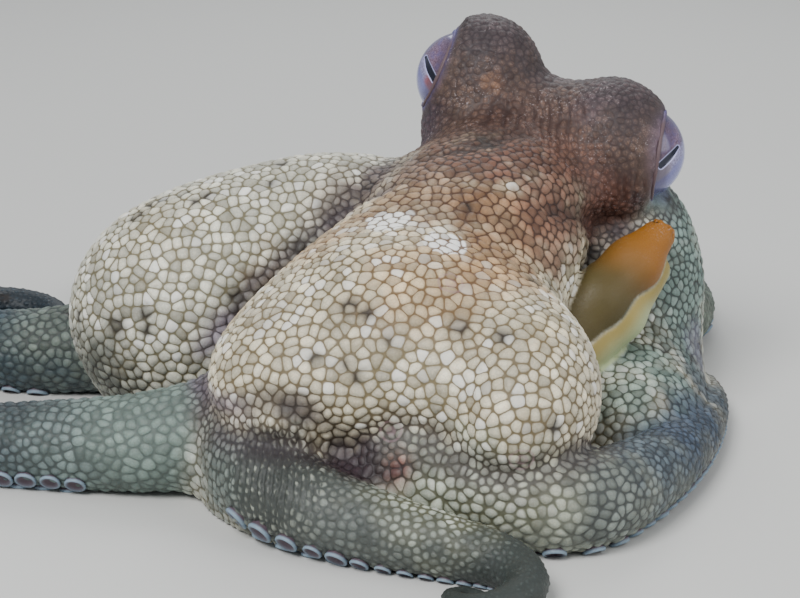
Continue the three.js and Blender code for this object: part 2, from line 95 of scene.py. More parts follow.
# Arms: way over the floor, radius at the root, curl of the tip (side, turns, room), lift of the
# root, whether it starts under the mantle, and the side its suckers are rolled to.
TIP_RADIUS = 1.3
ARM_BLEND = 14
ARM_BLEND_REACH = 90
UNDER_BLEND = 9
ROOT_REACH = 60
SINK = 0.92
ROD_LENGTH = 5
ARMS = {
    "left_1": dict(way=[(-12, 40), (-26, 74), (-50, 98), (-80, 104)], radius=14,
                   curl=(-1, 1.7, 66), lift=26, under=False, suckers=-1),
    "left_2": dict(way=[(-44, 24), (-82, 30), (-112, 34), (-138, 50), (-140, 76)], radius=16,
                   curl=(-1, 1.6, 54), lift=26, under=False, suckers=1),
    "left_3": dict(way=[(-22, -40), (-52, -50), (-84, -46), (-116, -38), (-140, -20)], radius=15.5,
                   curl=(-1, 1.6, 50), lift=18, under=False, suckers=1),
    "left_4": dict(way=[(-38, -50), (-30, -80), (-8, -97), (20, -110)], radius=14.5,
                   curl=(-1, 1.3, 32), lift=14, under=True, suckers=-1),
    "right_4": dict(way=[(4, -72), (22, -86), (42, -88), (58, -69), (72, -42), (82, -14), (87, 8),
                         (88, 24)], radius=15, curl=(1, 0.5, 14), lift=8, under=True, suckers=-1),
    "right_3": dict(way=[(56, 34), (76, 56), (88, 82), (91, 106)], radius=14,
                    curl=(1, 1.45, 46), lift=26, under=False, suckers=-1),
    "right_2": dict(way=[(38, 42), (46, 74), (46, 102), (38, 126)], radius=14,
                    curl=(1, 1.6, 52), lift=26, under=False, suckers=-1),
    "right_1": dict(way=[(12, 46), (10, 78), (-6, 104), (-28, 120)], radius=14,
                    curl=(-1, 1.6, 50), lift=26, under=False, suckers=1),
}

EYE_RADIUS = 13
EYE_STANDS_OUT = 1.7
# Each eye: where its solid meets the skin and looks, the way its opening faces and the opening's
# radius, the two ends of its pupil from the middle, and the colour at its near end.
EYES = {
    "eye_left": dict(at=(7.1, 30.6, 94.8), looks=(-0.93, -0.12, 0.35), gaze=(-0.917, 0.037, 0.397),
                     opening=10.6, pupil=((-11.2, -2.6, 7.6), (-7.7, -10.4, 1.3)), spot="b8563c"),
    "eye_right": dict(at=(75.1, 11.3, 74.2), looks=(0.88, -0.46, 0.08), gaze=(0.982, -0.142, -0.126),
                      opening=11.5, pupil=((10.6, -6.6, 3.4), (4.6, -12.0, -1.4)), spot="b7a68c"),
}
FUNNEL = [((40, -24, 30), 9.4), ((52, -17, 40.5), 8.7), ((62, -9, 48), 7.6), ((70, -2, 55), 4.8)]
COLLAR = [((44, -24, 26.5), 8.2), ((58, -15, 36), 7.2), ((68, -5, 45.5), 5)]
TUBE_BLEND = 3             # how softly the stretches of the funnel and the collar run together
TUBE_TO_BODY = 0.8
FUNNEL_HOLE = (6, 7, 3.2, 2.2)      # how far past the tip it starts and how deep it ends, its two radii
POCKET = ((51, -16, 38), (7, 9, 21), 15)
POCKET_BLEND = 4

# ---- sizes of the skin ----
GRID = 1.2
SHRINK = 0.35              # the smooth skin lies this far inside the solids; its relief fills it
LID_THICK = 0.6            # the fold of skin round an eye
LID_ABOVE = -0.35          # and how far its middle lies above the eye
LID_BLEND = 2.4
EYE_ROOM = 3               # room cut round the half of an eye that stands out
EYE_GAP = 0.3
SOFT_EDGE = 1.2            # rounding where the eyes, the funnel's hole and the arms meet the rest
FLOOR_GAP = 0.1
CREASE = 1.5               # how sharply the mantle meets the web, and how much softer it is by the neck
CREASE_BY_NECK = 16
BY_NECK, NECK_REACH = (20, 10, 66), 45
CELL = 3.9                 # least distance between the middles of the skin's large cells
CELL_MAX = 5.2
SMALL_CELL = 0.6           # and of small ones between them, as a share of that
SMALL_SUNK = 0.9           # which keeps small cells small
CELL_ROUND = 0.26          # rounding of a cell's corners
BROAD_NOISE = 22           # widths of the two noises that vary everything
ROUGH_NOISE = 7
SEEDS_NEAR = 8             # middles of cells looked at for a face, and those its material gets
SEEDS_USED = 5
MOST_GRAIN = 0.82          # how drawn out a cell may be, of 1
SAME = 1e-5                # distances closer than this are the same

# Soft valleys of the skin: points on the way, width and depth.
VALLEYS = [
    ([(2, -90, 16), (8, -91, 25), (12, -93, 34), (15, -92, 44)], 6.5, 2.6),
    ([(-42, -80, 31), (-31, -84, 36), (-23, -86, 33), (-16, -83, 24)], 4.5, 3.0),
    ([(-48, -32, 32), (-38, -26, 48), (-26, -19, 57), (-13, -12, 65), (-4, -22, 72)], 3.6, 1.8),
    ([(5, -13, 78), (18, -13, 81), (33, 1, 82)], 2.4, 1.1),
    ([(10, -29, 76), (14, -26, 77)], 1.8, 0.7),
    ([(38, -24, 67), (50, -2, 58), (60, 8, 53)], 4, 2.2),
]
WRINKLE_WIDTH = 0.46
WRINKLE_WANDER = 1.5
# Fine wrinkles: middle, reach, the way they run, the way across them, spacing, depth.
WRINKLES = [
    ((-29, -90, 17), 13, (0.05, -0.45, -0.9), (0.95, -0.3, 0.1), 1.9, 1.1),
    ((42, 8, 85), 13, (-0.1, -0.4, -0.9), (0.95, 0.1, -0.1), 2.3, 0.55),
    ((27, 8, 84), 12, (0.75, -0.25, 0.6), (0.5, 0.3, -0.8), 2.3, 0.5),
    ((18, -10, 80), 12, (0.9, 0.2, 0.3), (0.1, 0.7, -0.7), 2.8, 0.45),
    ((12, 20, 82), 8, (0.6, -0.5, 0.6), (0.4, 0.2, -0.9), 2.4, 0.4),
    ((60, 2, 66), 12, (0.3, -0.2, -0.9), (0.9, 0.3, 0.2), 2.8, 0.4),
    ((76, 4, 42), 18, (0.15, -0.1, -1.0), (0.6, 0.8, 0.0), 3.2, 0.2),
]


# ---- fields: distance to a shape, negative inside ----
def smooth_min(a, b, blend):
    """The least of two fields, rounded over a width of blend where they cross."""
    blend = np.maximum(blend, 1e-3)
    h = np.maximum(blend - np.abs(a - b), 0) / blend
    return np.minimum(a, b) - h * h * blend * 0.25


def ellipsoid(p, centre, radii, roll=0):
    """Nearly the distance to an ellipsoid, rolled by some degrees about the way it faces."""
    c, s = math.cos(math.radians(roll)), math.sin(math.radians(roll))
    d = p - np.array(centre, np.float32)
    q = np.stack([c * d[..., 0] - s * d[..., 2], d[..., 1], s * d[..., 0] + c * d[..., 2]], -1)
    r = np.array(radii, np.float32)
    a = np.sqrt(((q / r) ** 2).sum(-1))
    b = np.sqrt(((q / r ** 2) ** 2).sum(-1))
    return a * (a - 1) / np.maximum(b, 1e-9)


def rod(p, a, b, radius_a, radius_b):
    """Distance to a rod with round ends."""
    a, b = np.array(a, np.float32), np.array(b, np.float32)
    d = b - a
    e = p - a
    t = np.clip((e @ d) / max(float(d @ d), 1e-9), 0, 1)
    off = e - t[..., None] * d
    return np.sqrt((off ** 2).sum(-1)) - (radius_a + (radius_b - radius_a) * t)


def blobs(p, shapes, blend):
    """Distance to soft shapes that run together; each is a middle, radii and, for some, a roll."""
    v = np.full(p.shape[:-1], FAR, np.float32)
    for shape in shapes:
        v = smooth_min(v, ellipsoid(p, *shape), blend)
    return v


def chain(p, joints, blend, start=FAR):
    """Distance to rods from joint to joint that run together, and into what start describes."""
    v = np.full(p.shape[:-1], start, np.float32)
    for (a, ra), (b, rb) in zip(joints[:-1], joints[1:]):
        v = smooth_min(v, rod(p, a, b, ra, rb), blend)
    return v


def ease(x, low, high):
    """0 below low, 1 above high, and smooth between."""
    t = np.clip((x - low) / (high - low), 0, 1)
    return t * t * (3 - 2 * t)


def body_fields(p):
    """The head's field, the mantle's, and that of both with the neck."""
    head = blobs(p, HEAD, HEAD_BLEND)
    mantle = blobs(p, MANTLE, MANTLE_BLEND)
    return head, mantle, smooth_min(chain(p, NECK, NECK_BLEND, head), mantle, MANTLE_TO_HEAD)


def unit(v):
    return np.array(v) / np.linalg.norm(v)


def eye_axes(spec):
    """The middle of an eye, the way its opening faces, the radius and height of the fold round it."""
    looks, gaze = unit(spec["looks"]), unit(spec["gaze"])
    ring = spec["opening"] + LID_THICK
    height = math.sqrt(EYE_RADIUS ** 2 - spec["opening"] ** 2) + LID_ABOVE
    return np.array(spec["at"]) + looks * (EYE_STANDS_OUT - EYE_RADIUS), gaze, ring, height


# ---- arms: their axes ----
def smooth_way(points, steps=16):
    p = np.array(points, float)
    p = np.vstack([2 * p[0] - p[1], p, 2 * p[-1] - p[-2]])
    out = []
    for i in range(1, len(p) - 2):
        a, b, c, d = p[i - 1:i + 3]
        for t in np.arange(steps) / steps:
            out.append(0.5 * (2 * b + (c - a) * t + (2 * a - 5 * b + 4 * c - d) * t ** 2
                              + (3 * b - a - 3 * c + d) * t ** 3))
    out.append(p[-2])
    return out


def curled(way, curl, steps=40):
    side, turns, room = curl
    x, y = way[-1]
    angle = math.atan2(way[-1][1] - way[-2][1], way[-1][0] - way[-2][0])
    out = list(way)
    for i in range(1, steps + 1):
        f = i / steps
        length = room * 2.8 / steps * (1 - 0.65 * f)
        angle += side * 2 * math.pi * turns / steps * (0.6 + 0.8 * f)
        x += length * math.cos(angle)
        y += length * math.sin(angle)
        out.append((x, y))
    return np.array(out)


class Arm:
    """The axis of one arm: its way over the floor, its height and its radius."""

    def __init__(self, spec):
        self.spec = spec
        self.way = curled(smooth_way(spec["way"]), spec["curl"])
        steps = np.hypot(*np.diff(self.way, axis=0).T)
        self.run = np.concatenate([[0], np.cumsum(steps)])
        self.total = float(self.run[-1])

    def radius(self, s):
        left = 1 - np.clip(np.asarray(s, float) / self.total, 0, 1)
        return TIP_RADIUS + (self.spec["radius"] - TIP_RADIUS) * left ** 0.9

    def at(self, s):
        s = np.clip(np.asarray(s, float), 0, self.total)
        x = np.interp(s, self.run, self.way[:, 0])
        y = np.interp(s, self.run, self.way[:, 1])
        rise = self.spec["lift"] * np.maximum(1 - s / ROOT_REACH, 0) ** 2
        return np.stack([x, y, self.radius(s) * SINK + rise * 0.5], -1)

    def heading(self, s):
        d = (self.at(np.asarray(s) + 1.5) - self.at(np.asarray(s) - 1.5))[..., :2]
        return d / np.maximum(np.linalg.norm(d, axis=-1, keepdims=True), 1e-9)


arms = {name: Arm(spec) for name, spec in ARMS.items()}


# ---- the skin's field, on a grid ----
class Volume:
    def __init__(self, low, high, step):
        self.low = np.array(low, float)
        self.step = step
        self.shape = tuple(int(math.ceil((h - l) / step - 0.01)) + 1 for l, h in zip(low, high))

    def points(self, low=None, high=None):
        """The grid's points between two corners, and the slices that hold them."""
        first = np.zeros(3, int)
        last = np.array(self.shape)
        if low is not None:
            first = np.maximum(np.floor((low - self.low) / self.step).astype(int), 0)
            last = np.minimum(np.ceil((high - self.low) / self.step).astype(int) + 1, last)
        if (last <= first).any():
            return None, None
        axes = [self.low[k] + self.step * np.arange(first[k], last[k]) for k in range(3)]
        p = np.stack(np.meshgrid(*axes, indexing="ij"), -1).astype(np.float32)
        return tuple(slice(a, b) for a, b in zip(first, last)), p


SLAB = 14                  # planes of the grid worked on at a time


def skin_volume(volume):
    """The skin's field at each point of the grid, worked out in slabs across x."""
    v = np.empty(volume.shape, np.float32)
    high = volume.low + volume.step * (np.array(volume.shape) - 1)
    for first in range(0, volume.shape[0], SLAB):
        last = min(first + SLAB, volume.shape[0])
        low_x = volume.low[0] + volume.step * first
        high_x = volume.low[0] + volume.step * (last - 1)
        slab = Volume((low_x, *volume.low[1:]), (high_x, *high[1:]), volume.step)
        v[first:last] = skin_field(slab)
    return v


def arm_field(volume, arm, p):
    """Distance to one arm and the width of its join with the web."""
    near = np.full(volume.shape, FAR, np.float32)
    blend = np.full(volume.shape, 0.5, np.float32)
    reach_x = p[0, 0, 0, 0], p[-1, 0, 0, 0]
    for s in np.arange(0, arm.total, ROD_LENGTH):
        e = min(s + ROD_LENGTH, arm.total)
        a, b = arm.at(s), arm.at(e)
        ra, rb = float(arm.radius(s)), float(arm.radius(e))
        k = ARM_BLEND * max(1 - s / ARM_BLEND_REACH, 0.04)
        if arm.spec["under"]:
            k = min(k, UNDER_BLEND)
        reach = ra + k + 4
        if max(a[0], b[0]) + reach < reach_x[0] or min(a[0], b[0]) - reach > reach_x[1]:
            continue
        part, q = volume.points(np.minimum(a, b) - reach, np.maximum(a, b) + reach)
        if part is None:
            continue
        d = rod(q, a, b, ra, rb)
        closer = d < near[part]
        near[part] = np.where(closer, d, near[part])
        blend[part] = np.where(closer, k, blend[part])
    return near, blend


def skin_field(volume):
    _, p = volume.points()
    body = body_fields(p)[2]
    base = blobs(p, WEB, WEB_BLEND)
    web = base.copy()
    for arm in arms.values():
        near, blend = arm_field(volume, arm, p)
        web = smooth_min(web, smooth_min(base, near, blend), SOFT_EDGE)
    from_neck = np.sqrt(((p - np.array(BY_NECK, np.float32)) ** 2).sum(-1))
    v = smooth_min(body, web, CREASE + CREASE_BY_NECK * np.clip(1 - from_neck / NECK_REACH, 0, 1))
    for way, width, depth in VALLEYS:
        v = v + depth * np.exp(-(way_distance(p, way) / width) ** 2)
    v = -smooth_min(-v, ellipsoid(p, *POCKET), POCKET_BLEND)
    for tube in (COLLAR, FUNNEL):
        v = smooth_min(v, chain(p, tube, TUBE_BLEND), TUBE_TO_BODY)
    tip, before = np.array(FUNNEL[-1][0], float), np.array(FUNNEL[-2][0], float)
    way = unit(tip - before)
    out, deep, outer, inner = FUNNEL_HOLE
    v = -smooth_min(-v, rod(p, tip + way * out, tip - way * deep, outer, inner), SOFT_EDGE)
    for eye in EYES.values():
        centre, gaze, ring, height = eye_axes(eye)
        q = p - centre.astype(np.float32)
        along = q @ gaze.astype(np.float32)
        far = np.sqrt((q ** 2).sum(-1))
        room = np.maximum(far - EYE_RADIUS - EYE_ROOM, height - EYE_GAP - along)
        v = -smooth_min(-v, room, SOFT_EDGE)
        v = smooth_min(v, np.maximum(web, EYE_RADIUS + EYE_GAP - far), SOFT_EDGE)
        across = np.sqrt(np.maximum(far ** 2 - along ** 2, 0))
        v = smooth_min(v, np.hypot(across - ring - 0.5, along - height + 0.4) - LID_THICK, LID_BLEND)
    return np.maximum(v + SHRINK, FLOOR_GAP - p[..., 2])


CORNERS = [(i, j, k) for i in (0, 1) for j in (0, 1) for k in (0, 1)]


def surface_nets(v, low, step):
    """Points (n, 3) and four-sided faces (m, 4) of the zero level of v, negative inside."""
    inside = v < 0
    cells = tuple(s - 1 for s in v.shape)
    whole, some = np.ones(cells, bool), np.zeros(cells, bool)
    for corner in CORNERS:
        here = inside[tuple(slice(o, o + n) for o, n in zip(corner, cells))]
        whole &= here
        some |= here
    used = np.argwhere(some & ~whole)
    index = np.full(cells, -1, np.int32)
    index[tuple(used.T)] = np.arange(len(used))
    total = np.zeros((len(used), 3))
    count = np.zeros(len(used))
    for a in CORNERS:
        for axis in range(3):
            if a[axis]:
                continue
            b = tuple(x + (n == axis) for n, x in enumerate(a))
            va, vb = v[tuple((used + a).T)], v[tuple((used + b).T)]
            cross = (va < 0) != (vb < 0)
            t = np.where(cross, va / np.where(cross, va - vb, 1), 0)
            total += np.where(cross[:, None], np.array(a) + t[:, None] * (np.arange(3) == axis), 0)
            count += cross
    points = (used + total / count[:, None]) * step + low
    faces = []
    for axis in range(3):
        u, w = (axis + 1) % 3, (axis + 2) % 3
        first, second = [slice(None)] * 3, [slice(None)] * 3
        first[axis], second[axis] = slice(0, -1), slice(1, None)
        at = np.argwhere(inside[tuple(first)] != inside[tuple(second)])
        for k in (u, w):
            at = at[(at[:, k] > 0) & (at[:, k] < v.shape[k] - 1)]
        corners = []
        for du, dw in ((1, 1), (0, 1), (0, 0), (1, 0)):
            c = at.copy()
            c[:, u] -= du
            c[:, w] -= dw
            corners.append(index[tuple(c.T)])
        quads = np.stack(corners, 1)
        outward = ~inside[tuple(at.T)]
        quads[outward] = quads[outward][:, ::-1]
        faces.append(quads)
    return points, np.concatenate(faces)


# ---- meshes ----
def mesh_of(name, points, faces):
    """A mesh from points in millimetres and faces that all have as many corners."""
    faces = np.asarray(faces)
    n, sides = faces.shape
    mesh = bpy.data.meshes.new(name)
    mesh.vertices.add(len(points))
    mesh.vertices.foreach_set("co", np.asarray(points, np.float32).ravel())
    mesh.loops.add(n * sides)
    mesh.loops.foreach_set("vertex_index", faces.astype(np.int32).ravel())
    mesh.polygons.add(n)
    mesh.polygons.foreach_set("loop_start", np.arange(0, n * sides, sides, dtype=np.int32))
    mesh.update(calc_edges=True)
    mesh.validate()
    return mesh


def grid_faces(rows, sides, closed=False):
    """Faces of rows of points round a tube, which also joins its last row to its first where closed."""
    i, j = np.meshgrid(np.arange(rows if closed else rows - 1), np.arange(sides), indexing="ij")
    here, below, beside = i * sides, (i + 1) % rows * sides, (j + 1) % sides
    return np.stack([here + j, below + j, below + beside, here + beside], -1).reshape(-1, 4)


def object_of(name, mesh):
    made = bpy.data.objects.new(name, mesh)
    bpy.context.scene.collection.objects.link(made)
    return made


def gathered(index, values, size):
    """The sum of values that share an index, for each index below size."""
    out = np.empty((size, values.shape[1]))
    for k in range(values.shape[1]):
        out[:, k] = np.bincount(index, values[:, k], size)
    return out


def subdivided(points, faces):
    """One level of smooth (Catmull-Clark) subdivision of a closed mesh of four-sided faces."""
    n, f = len(points), len(faces)
    middles = points[faces].mean(1)
    ends = np.stack([faces, np.roll(faces, -1, axis=1)], -1).reshape(-1, 2)
    low, high = ends.min(1).astype(np.int64), ends.max(1).astype(np.int64)
    keys, edge = np.unique(low * n + high, return_inverse=True)
    low, high = keys // n, keys % n
    e = len(keys)
    around = np.repeat(np.arange(f), 4)
    uses = np.bincount(edge, minlength=e)[:, None]
    edge_middles = (points[low] + points[high]) / 2
    edge_points = (edge_middles + gathered(edge, middles[around], e) / uses) / 2
    corner = faces.ravel()
    valence = np.bincount(corner, minlength=n)[:, None]
    mean_face = gathered(corner, middles[around], n) / valence
    both, twice = np.concatenate([low, high]), np.vstack([edge_middles, edge_middles])
    mean_edge = gathered(both, twice, n) / np.bincount(both, minlength=n)[:, None]
    moved = (mean_face + 2 * mean_edge + (valence - 3) * points) / valence
    edge = edge.reshape(-1, 4) + n
    face = np.arange(f) + n + e
    quads = [np.stack([faces[:, k], edge[:, k], face, edge[:, k - 1]], 1) for k in range(4)]
    return np.vstack([moved, edge_points, middles]).astype(np.float32), np.concatenate(quads)


def normals_of(points, faces):
    a, b, c, d = (points[faces[:, k]] for k in range(4))
    face = np.cross(c - a, d - b)
    out = np.zeros_like(points)
    for k in range(4):
        for n in range(3):
            out[:, n] += np.bincount(faces[:, k], face[:, n], len(points))
    return out / np.maximum(np.linalg.norm(out, axis=1, keepdims=True), 1e-12)


def noise(points, size, shift):
    """Soft noise from 0 to 1, as wide as size: Blender's own, the same as in a material."""
    mesh = bpy.data.meshes.new("samples")
    mesh.vertices.add(len(points))
    mesh.vertices.foreach_set("co", np.asarray(points / size + shift, np.float32).ravel())
    made = object_of("samples", mesh)
    group = bpy.data.node_groups.new("samples", "GeometryNodeTree")
    for way in ("INPUT", "OUTPUT"):
        group.interface.new_socket("Geometry", in_out=way, socket_type="NodeSocketGeometry")
    entry, leave, place, pattern, store = (group.nodes.new(kind) for kind in (
        "NodeGroupInput", "NodeGroupOutput", "GeometryNodeInputPosition", "ShaderNodeTexNoise",
        "GeometryNodeStoreNamedAttribute"))
    pattern.inputs["Scale"].default_value = 1.0
    pattern.inputs["Detail"].default_value = 2.0
    store.data_type, store.domain = "FLOAT", "POINT"
    store.inputs["Name"].default_value = "noise"
    for source, socket in ((place.outputs[0], pattern.inputs["Vector"]),
                           (entry.outputs[0], store.inputs["Geometry"]),
                           (pattern.outputs["Fac"], store.inputs["Value"]),
                           (store.outputs["Geometry"], leave.inputs[0])):
        group.links.new(source, socket)
    made.modifiers.new("samples", "NODES").node_group = group
    evaluated = made.evaluated_get(bpy.context.evaluated_depsgraph_get()).data
    values = np.zeros(len(points), np.float32)
    evaluated.attributes["noise"].data.foreach_get("value", values)
    bpy.data.objects.remove(made)
    bpy.data.meshes.remove(mesh)
    bpy.data.node_groups.remove(group)
    return values


def colour(text):
    """A linear colour from six hexadecimal digits."""
    s = np.array([int(text[i:i + 2], 16) for i in (0, 2, 4)]) / 255
    return np.where(s <= 0.04045, s / 12.92, ((s + 0.055) / 1.055) ** 2.4)


def blend_to(base, target, share):
    return base + (np.asarray(target) - base) * np.asarray(share)[:, None]


# ---- where each point of the skin is on the animal ----
AXIS_STEP = 2.0
ARM_REACH = 24             # points farther from an arm's box than this aren't its own
AT_A_TIME = 20000


def arm_places(p):
    """For each point: distance to the nearest arm, distance along it, offset to its left, radius and
    heading there, and the arm's number."""
    best = np.full(len(p), FAR, np.float32)
    along = np.zeros(len(p), np.float32)
    side = np.zeros(len(p), np.float32)
    thick = np.ones(len(p), np.float32)
    way = np.zeros((len(p), 2), np.float32)
    which = np.full(len(p), -1)
    for number, arm in enumerate(arms.values()):
        s = np.arange(0, arm.total, AXIS_STEP)
        axis = arm.at(s).astype(np.float32)
        radius = arm.radius(s).astype(np.float32)
        heading = arm.heading(s).astype(np.float32)
        low, high = axis.min(0) - ARM_REACH, axis.max(0) + ARM_REACH
        near = np.where(((p > low) & (p < high)).all(1))[0]
        for chunk in np.array_split(near, max(1, len(near) // AT_A_TIME)):
            d = np.sqrt(((p[chunk, None, :] - axis[None]) ** 2).sum(-1)) - radius[None]
            k = d.argmin(1)
            value = d[np.arange(len(chunk)), k]
            off = p[chunk] - axis[k]
            left = heading[k][:, 0] * off[:, 1] - heading[k][:, 1] * off[:, 0]
            closer = value < best[chunk]
            at = chunk[closer]
            best[at] = value[closer]
            along[at] = s[k[closer]]
            side[at] = left[closer]
            thick[at] = radius[k[closer]]
            way[at] = heading[k[closer]]
            which[at] = number
    return best, along, side, thick, way, which


def eye_nearness(p):
    """Distance outward from the fold round the nearest eye, large away from the eyes."""
    out = np.full(len(p), FAR)
    for eye in EYES.values():
        centre, gaze, ring, _ = eye_axes(eye)
        q = p - centre
        along = q @ gaze
        across = np.sqrt(np.maximum((q ** 2).sum(-1) - along ** 2, 0))
        out = np.minimum(out, np.where(along > 0, across - ring, FAR))
    return out


CREAM, OLIVE = colour("dcd2b8"), colour("66583c")
HEAD_TONE, HEAD_GROOVE = colour("6c5549"), colour("2e2022")
LOBE_TONE, LOBE_GROOVE = colour("d3d1c1"), colour("676047")
FUNNEL_TONE, FUNNEL_ROOT, FUNNEL_LIP = colour("925c15"), colour("4e431f"), colour("a592a6")
COLLAR_TONE, COLLAR_EDGE = colour("a9b48a"), colour("8f7428")
# painted shade for the crease where the body meets the web and the arms
FOLD_SHADE = colour("4a3c44")
SPOT_TONE = colour("241e1c")
# painted violet reflection round the eyes
LID_SHEEN = colour("4f4c86")
CUP_RIM, CUP_BOWL = colour("7f93a3"), colour("54464f")
SPECK_TONE = colour("b9aeb0")
PALE_TONE = colour("f3f2ee")
# Colour of each arm by the web and at its tip.
ARM_TONES = {
    "left_1": ("8c927f", "42504f"), "left_2": ("4f6068", "2d3d49"), "left_3": ("7f9088", "3e4c55"),
    "left_4": ("6f7570", "4a5450"), "right_4": ("a3a898", "384858"), "right_3": ("7d887b", "3d4c52"),
    "right_2": ("7d887b", "3d4c52"), "right_1": ("8c927f", "42504f"),
}
# Broad patches of colour: middle, reach, colour of the cells and of the grooves, strength.
PATCHES = [
    ((8, -70, 60), 18, "c8a676", "6b4a26", 0.6),      # warm middle of the mantle
    ((-20, -39, 63), 13, "b48c60", "6a4424", 0.6),    # orange-brown beside the left crease
    ((25, -58, 64), 15, "b08656", "5c3a1c", 0.75),
    ((-30, -62, 48), 10, "d8d0bc", "77684c", 0.6),
    ((2, -88, 40), 12, "d9d2be", "7c7050", 0.6),
    ((35, -75, 50), 13, "c9c0a6", "6b6040", 0.5),
    ((10, -34, 74), 16, "8f6e50", "45291a", 0.75),    # back of the neck
    ((27, -38, 69), 16, "8c6440", "402212", 0.85),
    ((39, -32, 64), 11, "7d5540", "381f16", 0.85),
    ((-3, -33, 70), 9, "9a7c5c", "4a2e1c", 0.7),
    ((12, 0, 82), 12, "6c4e40", "301c18", 0.95),
    ((28, 4, 84), 13, "674a3e", "2e1b17", 0.95),
    ((43, -4, 78), 12, "6a4a3c", "2e1a16", 0.95),
    ((50, -14, 68), 9, "6a4c3e", "301c18", 0.95),
    ((5, -16, 78), 10, "7a5f50", "3a2620", 0.9),
    ((18, -18, 79), 12, "714e3f", "321e18", 0.95),
    ((33, -14, 78), 12, "6e4a3b", "301a15", 0.95),
    ((-13, -12, 66), 13, "98897a", "4a3c34", 0.75),   # shoulder
    ((-4, -6, 72), 9, "82746a", "403530", 0.8),
    ((-30, 0, 60), 14, "c9c6b4", "6b6650", 0.5),      # light top of the left fold
    # painted shadow: the deep fold under the mantle is darkened to purple-grey
    ((-11, -85, 18), 9, "3c2e34", "1c1518", 0.9),    # deep fold under the mantle
    ((-25, -86, 32), 5.5, "4e424c", "241c22", 0.6),
    ((0, -88, 19), 5, "9c4638", "401a18", 0.95),
    ((8, -92, 20), 7, "a3a68c", "50503c", 0.5),
    ((20, -97, 19), 12, "c2c3b0", "5f5f48", 0.8),
    ((35, -100, 20), 10, "b9bba8", "5a5a45", 0.7),
    # wrinkled root of the lower left arm: its grey-green made pale on the ridges as a painted highlight,
    # with near-black grooves as painted shade
    ((-30, -90, 17), 13, "a3a89b", "2c302e", 0.9),    # wrinkled root of the lower left arm
    ((10, -97, 14), 16, "bcc2b2", "54543f", 0.85),
    ((52, -94, 14), 14, "6f7773", "2c3032", 0.85),
    ((60, -72, 18), 14, "55636e", "242c36", 0.9),     # bluish bend of the right arm
    ((68, -52, 16), 13, "47566a", "1c2634", 0.95),
    ((78, -34, 16), 13, "3f4f62", "1a2432", 0.95),
    ((86, -8, 18), 14, "44525f", "1e2832", 0.9),
    ((-106, -34, 14), 26, "434e56", "1e242a", 0.9),   # outer part of the lower left arm
    ((-84, -50, 12), 12, "7b8a88", "39403e", 0.6),
    ((-94, 24, 23), 20, "7d8676", "3a3e34", 0.6),     # outer side of the left fold
    ((-80, -16, 18), 15, "6d7268", "33342e", 0.75),
    ((-62, -10, 20), 14, "6a6c66", "302e2e", 0.7),
    ((80, 10, 36), 20, "7c938c", "303c3a", 0.95),     # flank on the right
    ((76, 22, 56), 16, "7c938c", "303c3a", 0.9),
    ((66, -22, 30), 14, "84998f", "34423d", 0.95),
    ((58, -38, 22), 10, "8da094", "38443e", 0.85),
    ((84, 9, 19), 8, "7d7f8c", "5a5a68", 0.9),
    ((50, 8, 87), 5, "8a7274", "4a3a3e", 0.7),        # smooth patch on the right eye bulge
    ((24, 26, 109), 16, "4c4248", "241c22", 0.8),     # tops of the eye bulges
    ((62, 16, 93), 16, "4c4046", "241c22", 0.8),
    ((40, 26, 92), 10, "54494c", "2a2226", 0.8),      # saddle
    ((8, 22, 80), 9, "544452", "2a2030", 0.7),
    ((15, 10, 80), 10, "6e584c", "36241e", 0.6),
    ((54, 2, 60), 12, "84584a", "3c2018", 0.8),       # underside of the right eye bulge
    ((40, 4, 80), 9, "7a5646", "3a221c", 0.7),
    # painted shadow under the right eye bulge
    ((66, 2, 62), 4, "3f3c48", "201e26", 0.6),
    ((42, -22, 70), 11, "7c5846", "3a221a", 0.95),
    ((54, -20, 60), 9, "755646", "38241c", 0.9),
    ((-46, -82, 14), 11, "76807a", "363c38", 0.85),
    ((-40, -70, 8), 11, "6c7672", "30362f", 0.8),
    ((38, 10, 84), 10, "6a5247", "34211c", 0.6),
    ((25, 14, 93), 3.0, "8c6850", "4a2e22", 0.7),
    ((-32, -30, 54), 9, "a5825c", "5a3c24", 0.65),    # warm left edge of the mantle
    ((-41, -46, 44), 9, "b3956e", "62452a", 0.55),
    ((-62, -8, 50), 16, "cbc1a6", "6e5f40", 0.5),
    ((30, -80, 46), 9, "c9b58e", "6a5230", 0.5),
]
# Dark spots: middle and reach.
SPOTS = [
    ((-12, -75, 56), 3.0), ((-8, -78, 55), 2.4), ((14, -82, 53), 2.8), ((24, -86, 52), 3.0),
    ((-12, -83, 44), 2.2), ((-10, -84, 41), 2.2), ((-20, -82, 45), 2.0), ((36, -97, 33), 2.8),
    ((-43, -27, 45), 2.2), ((-26, -18, 55), 2.2), ((-28, -86, 35), 1.6), ((17, -38, 71), 2.2),
    ((33, -56, 57), 2.2), ((38, -45, 52), 2.2), ((-74, -25, 36), 3.4), ((-66, -28, 40), 2.6),
    ((-66, -29, 36), 2.6), ((70, -4, 38), 2.6), ((76, -6, 30), 2.4), ((28, -78, 48), 2.0),
    ((8, -92, 36), 2.2), ((-3, -84, 50), 1.8), ((42, -70, 40), 2.0),
]
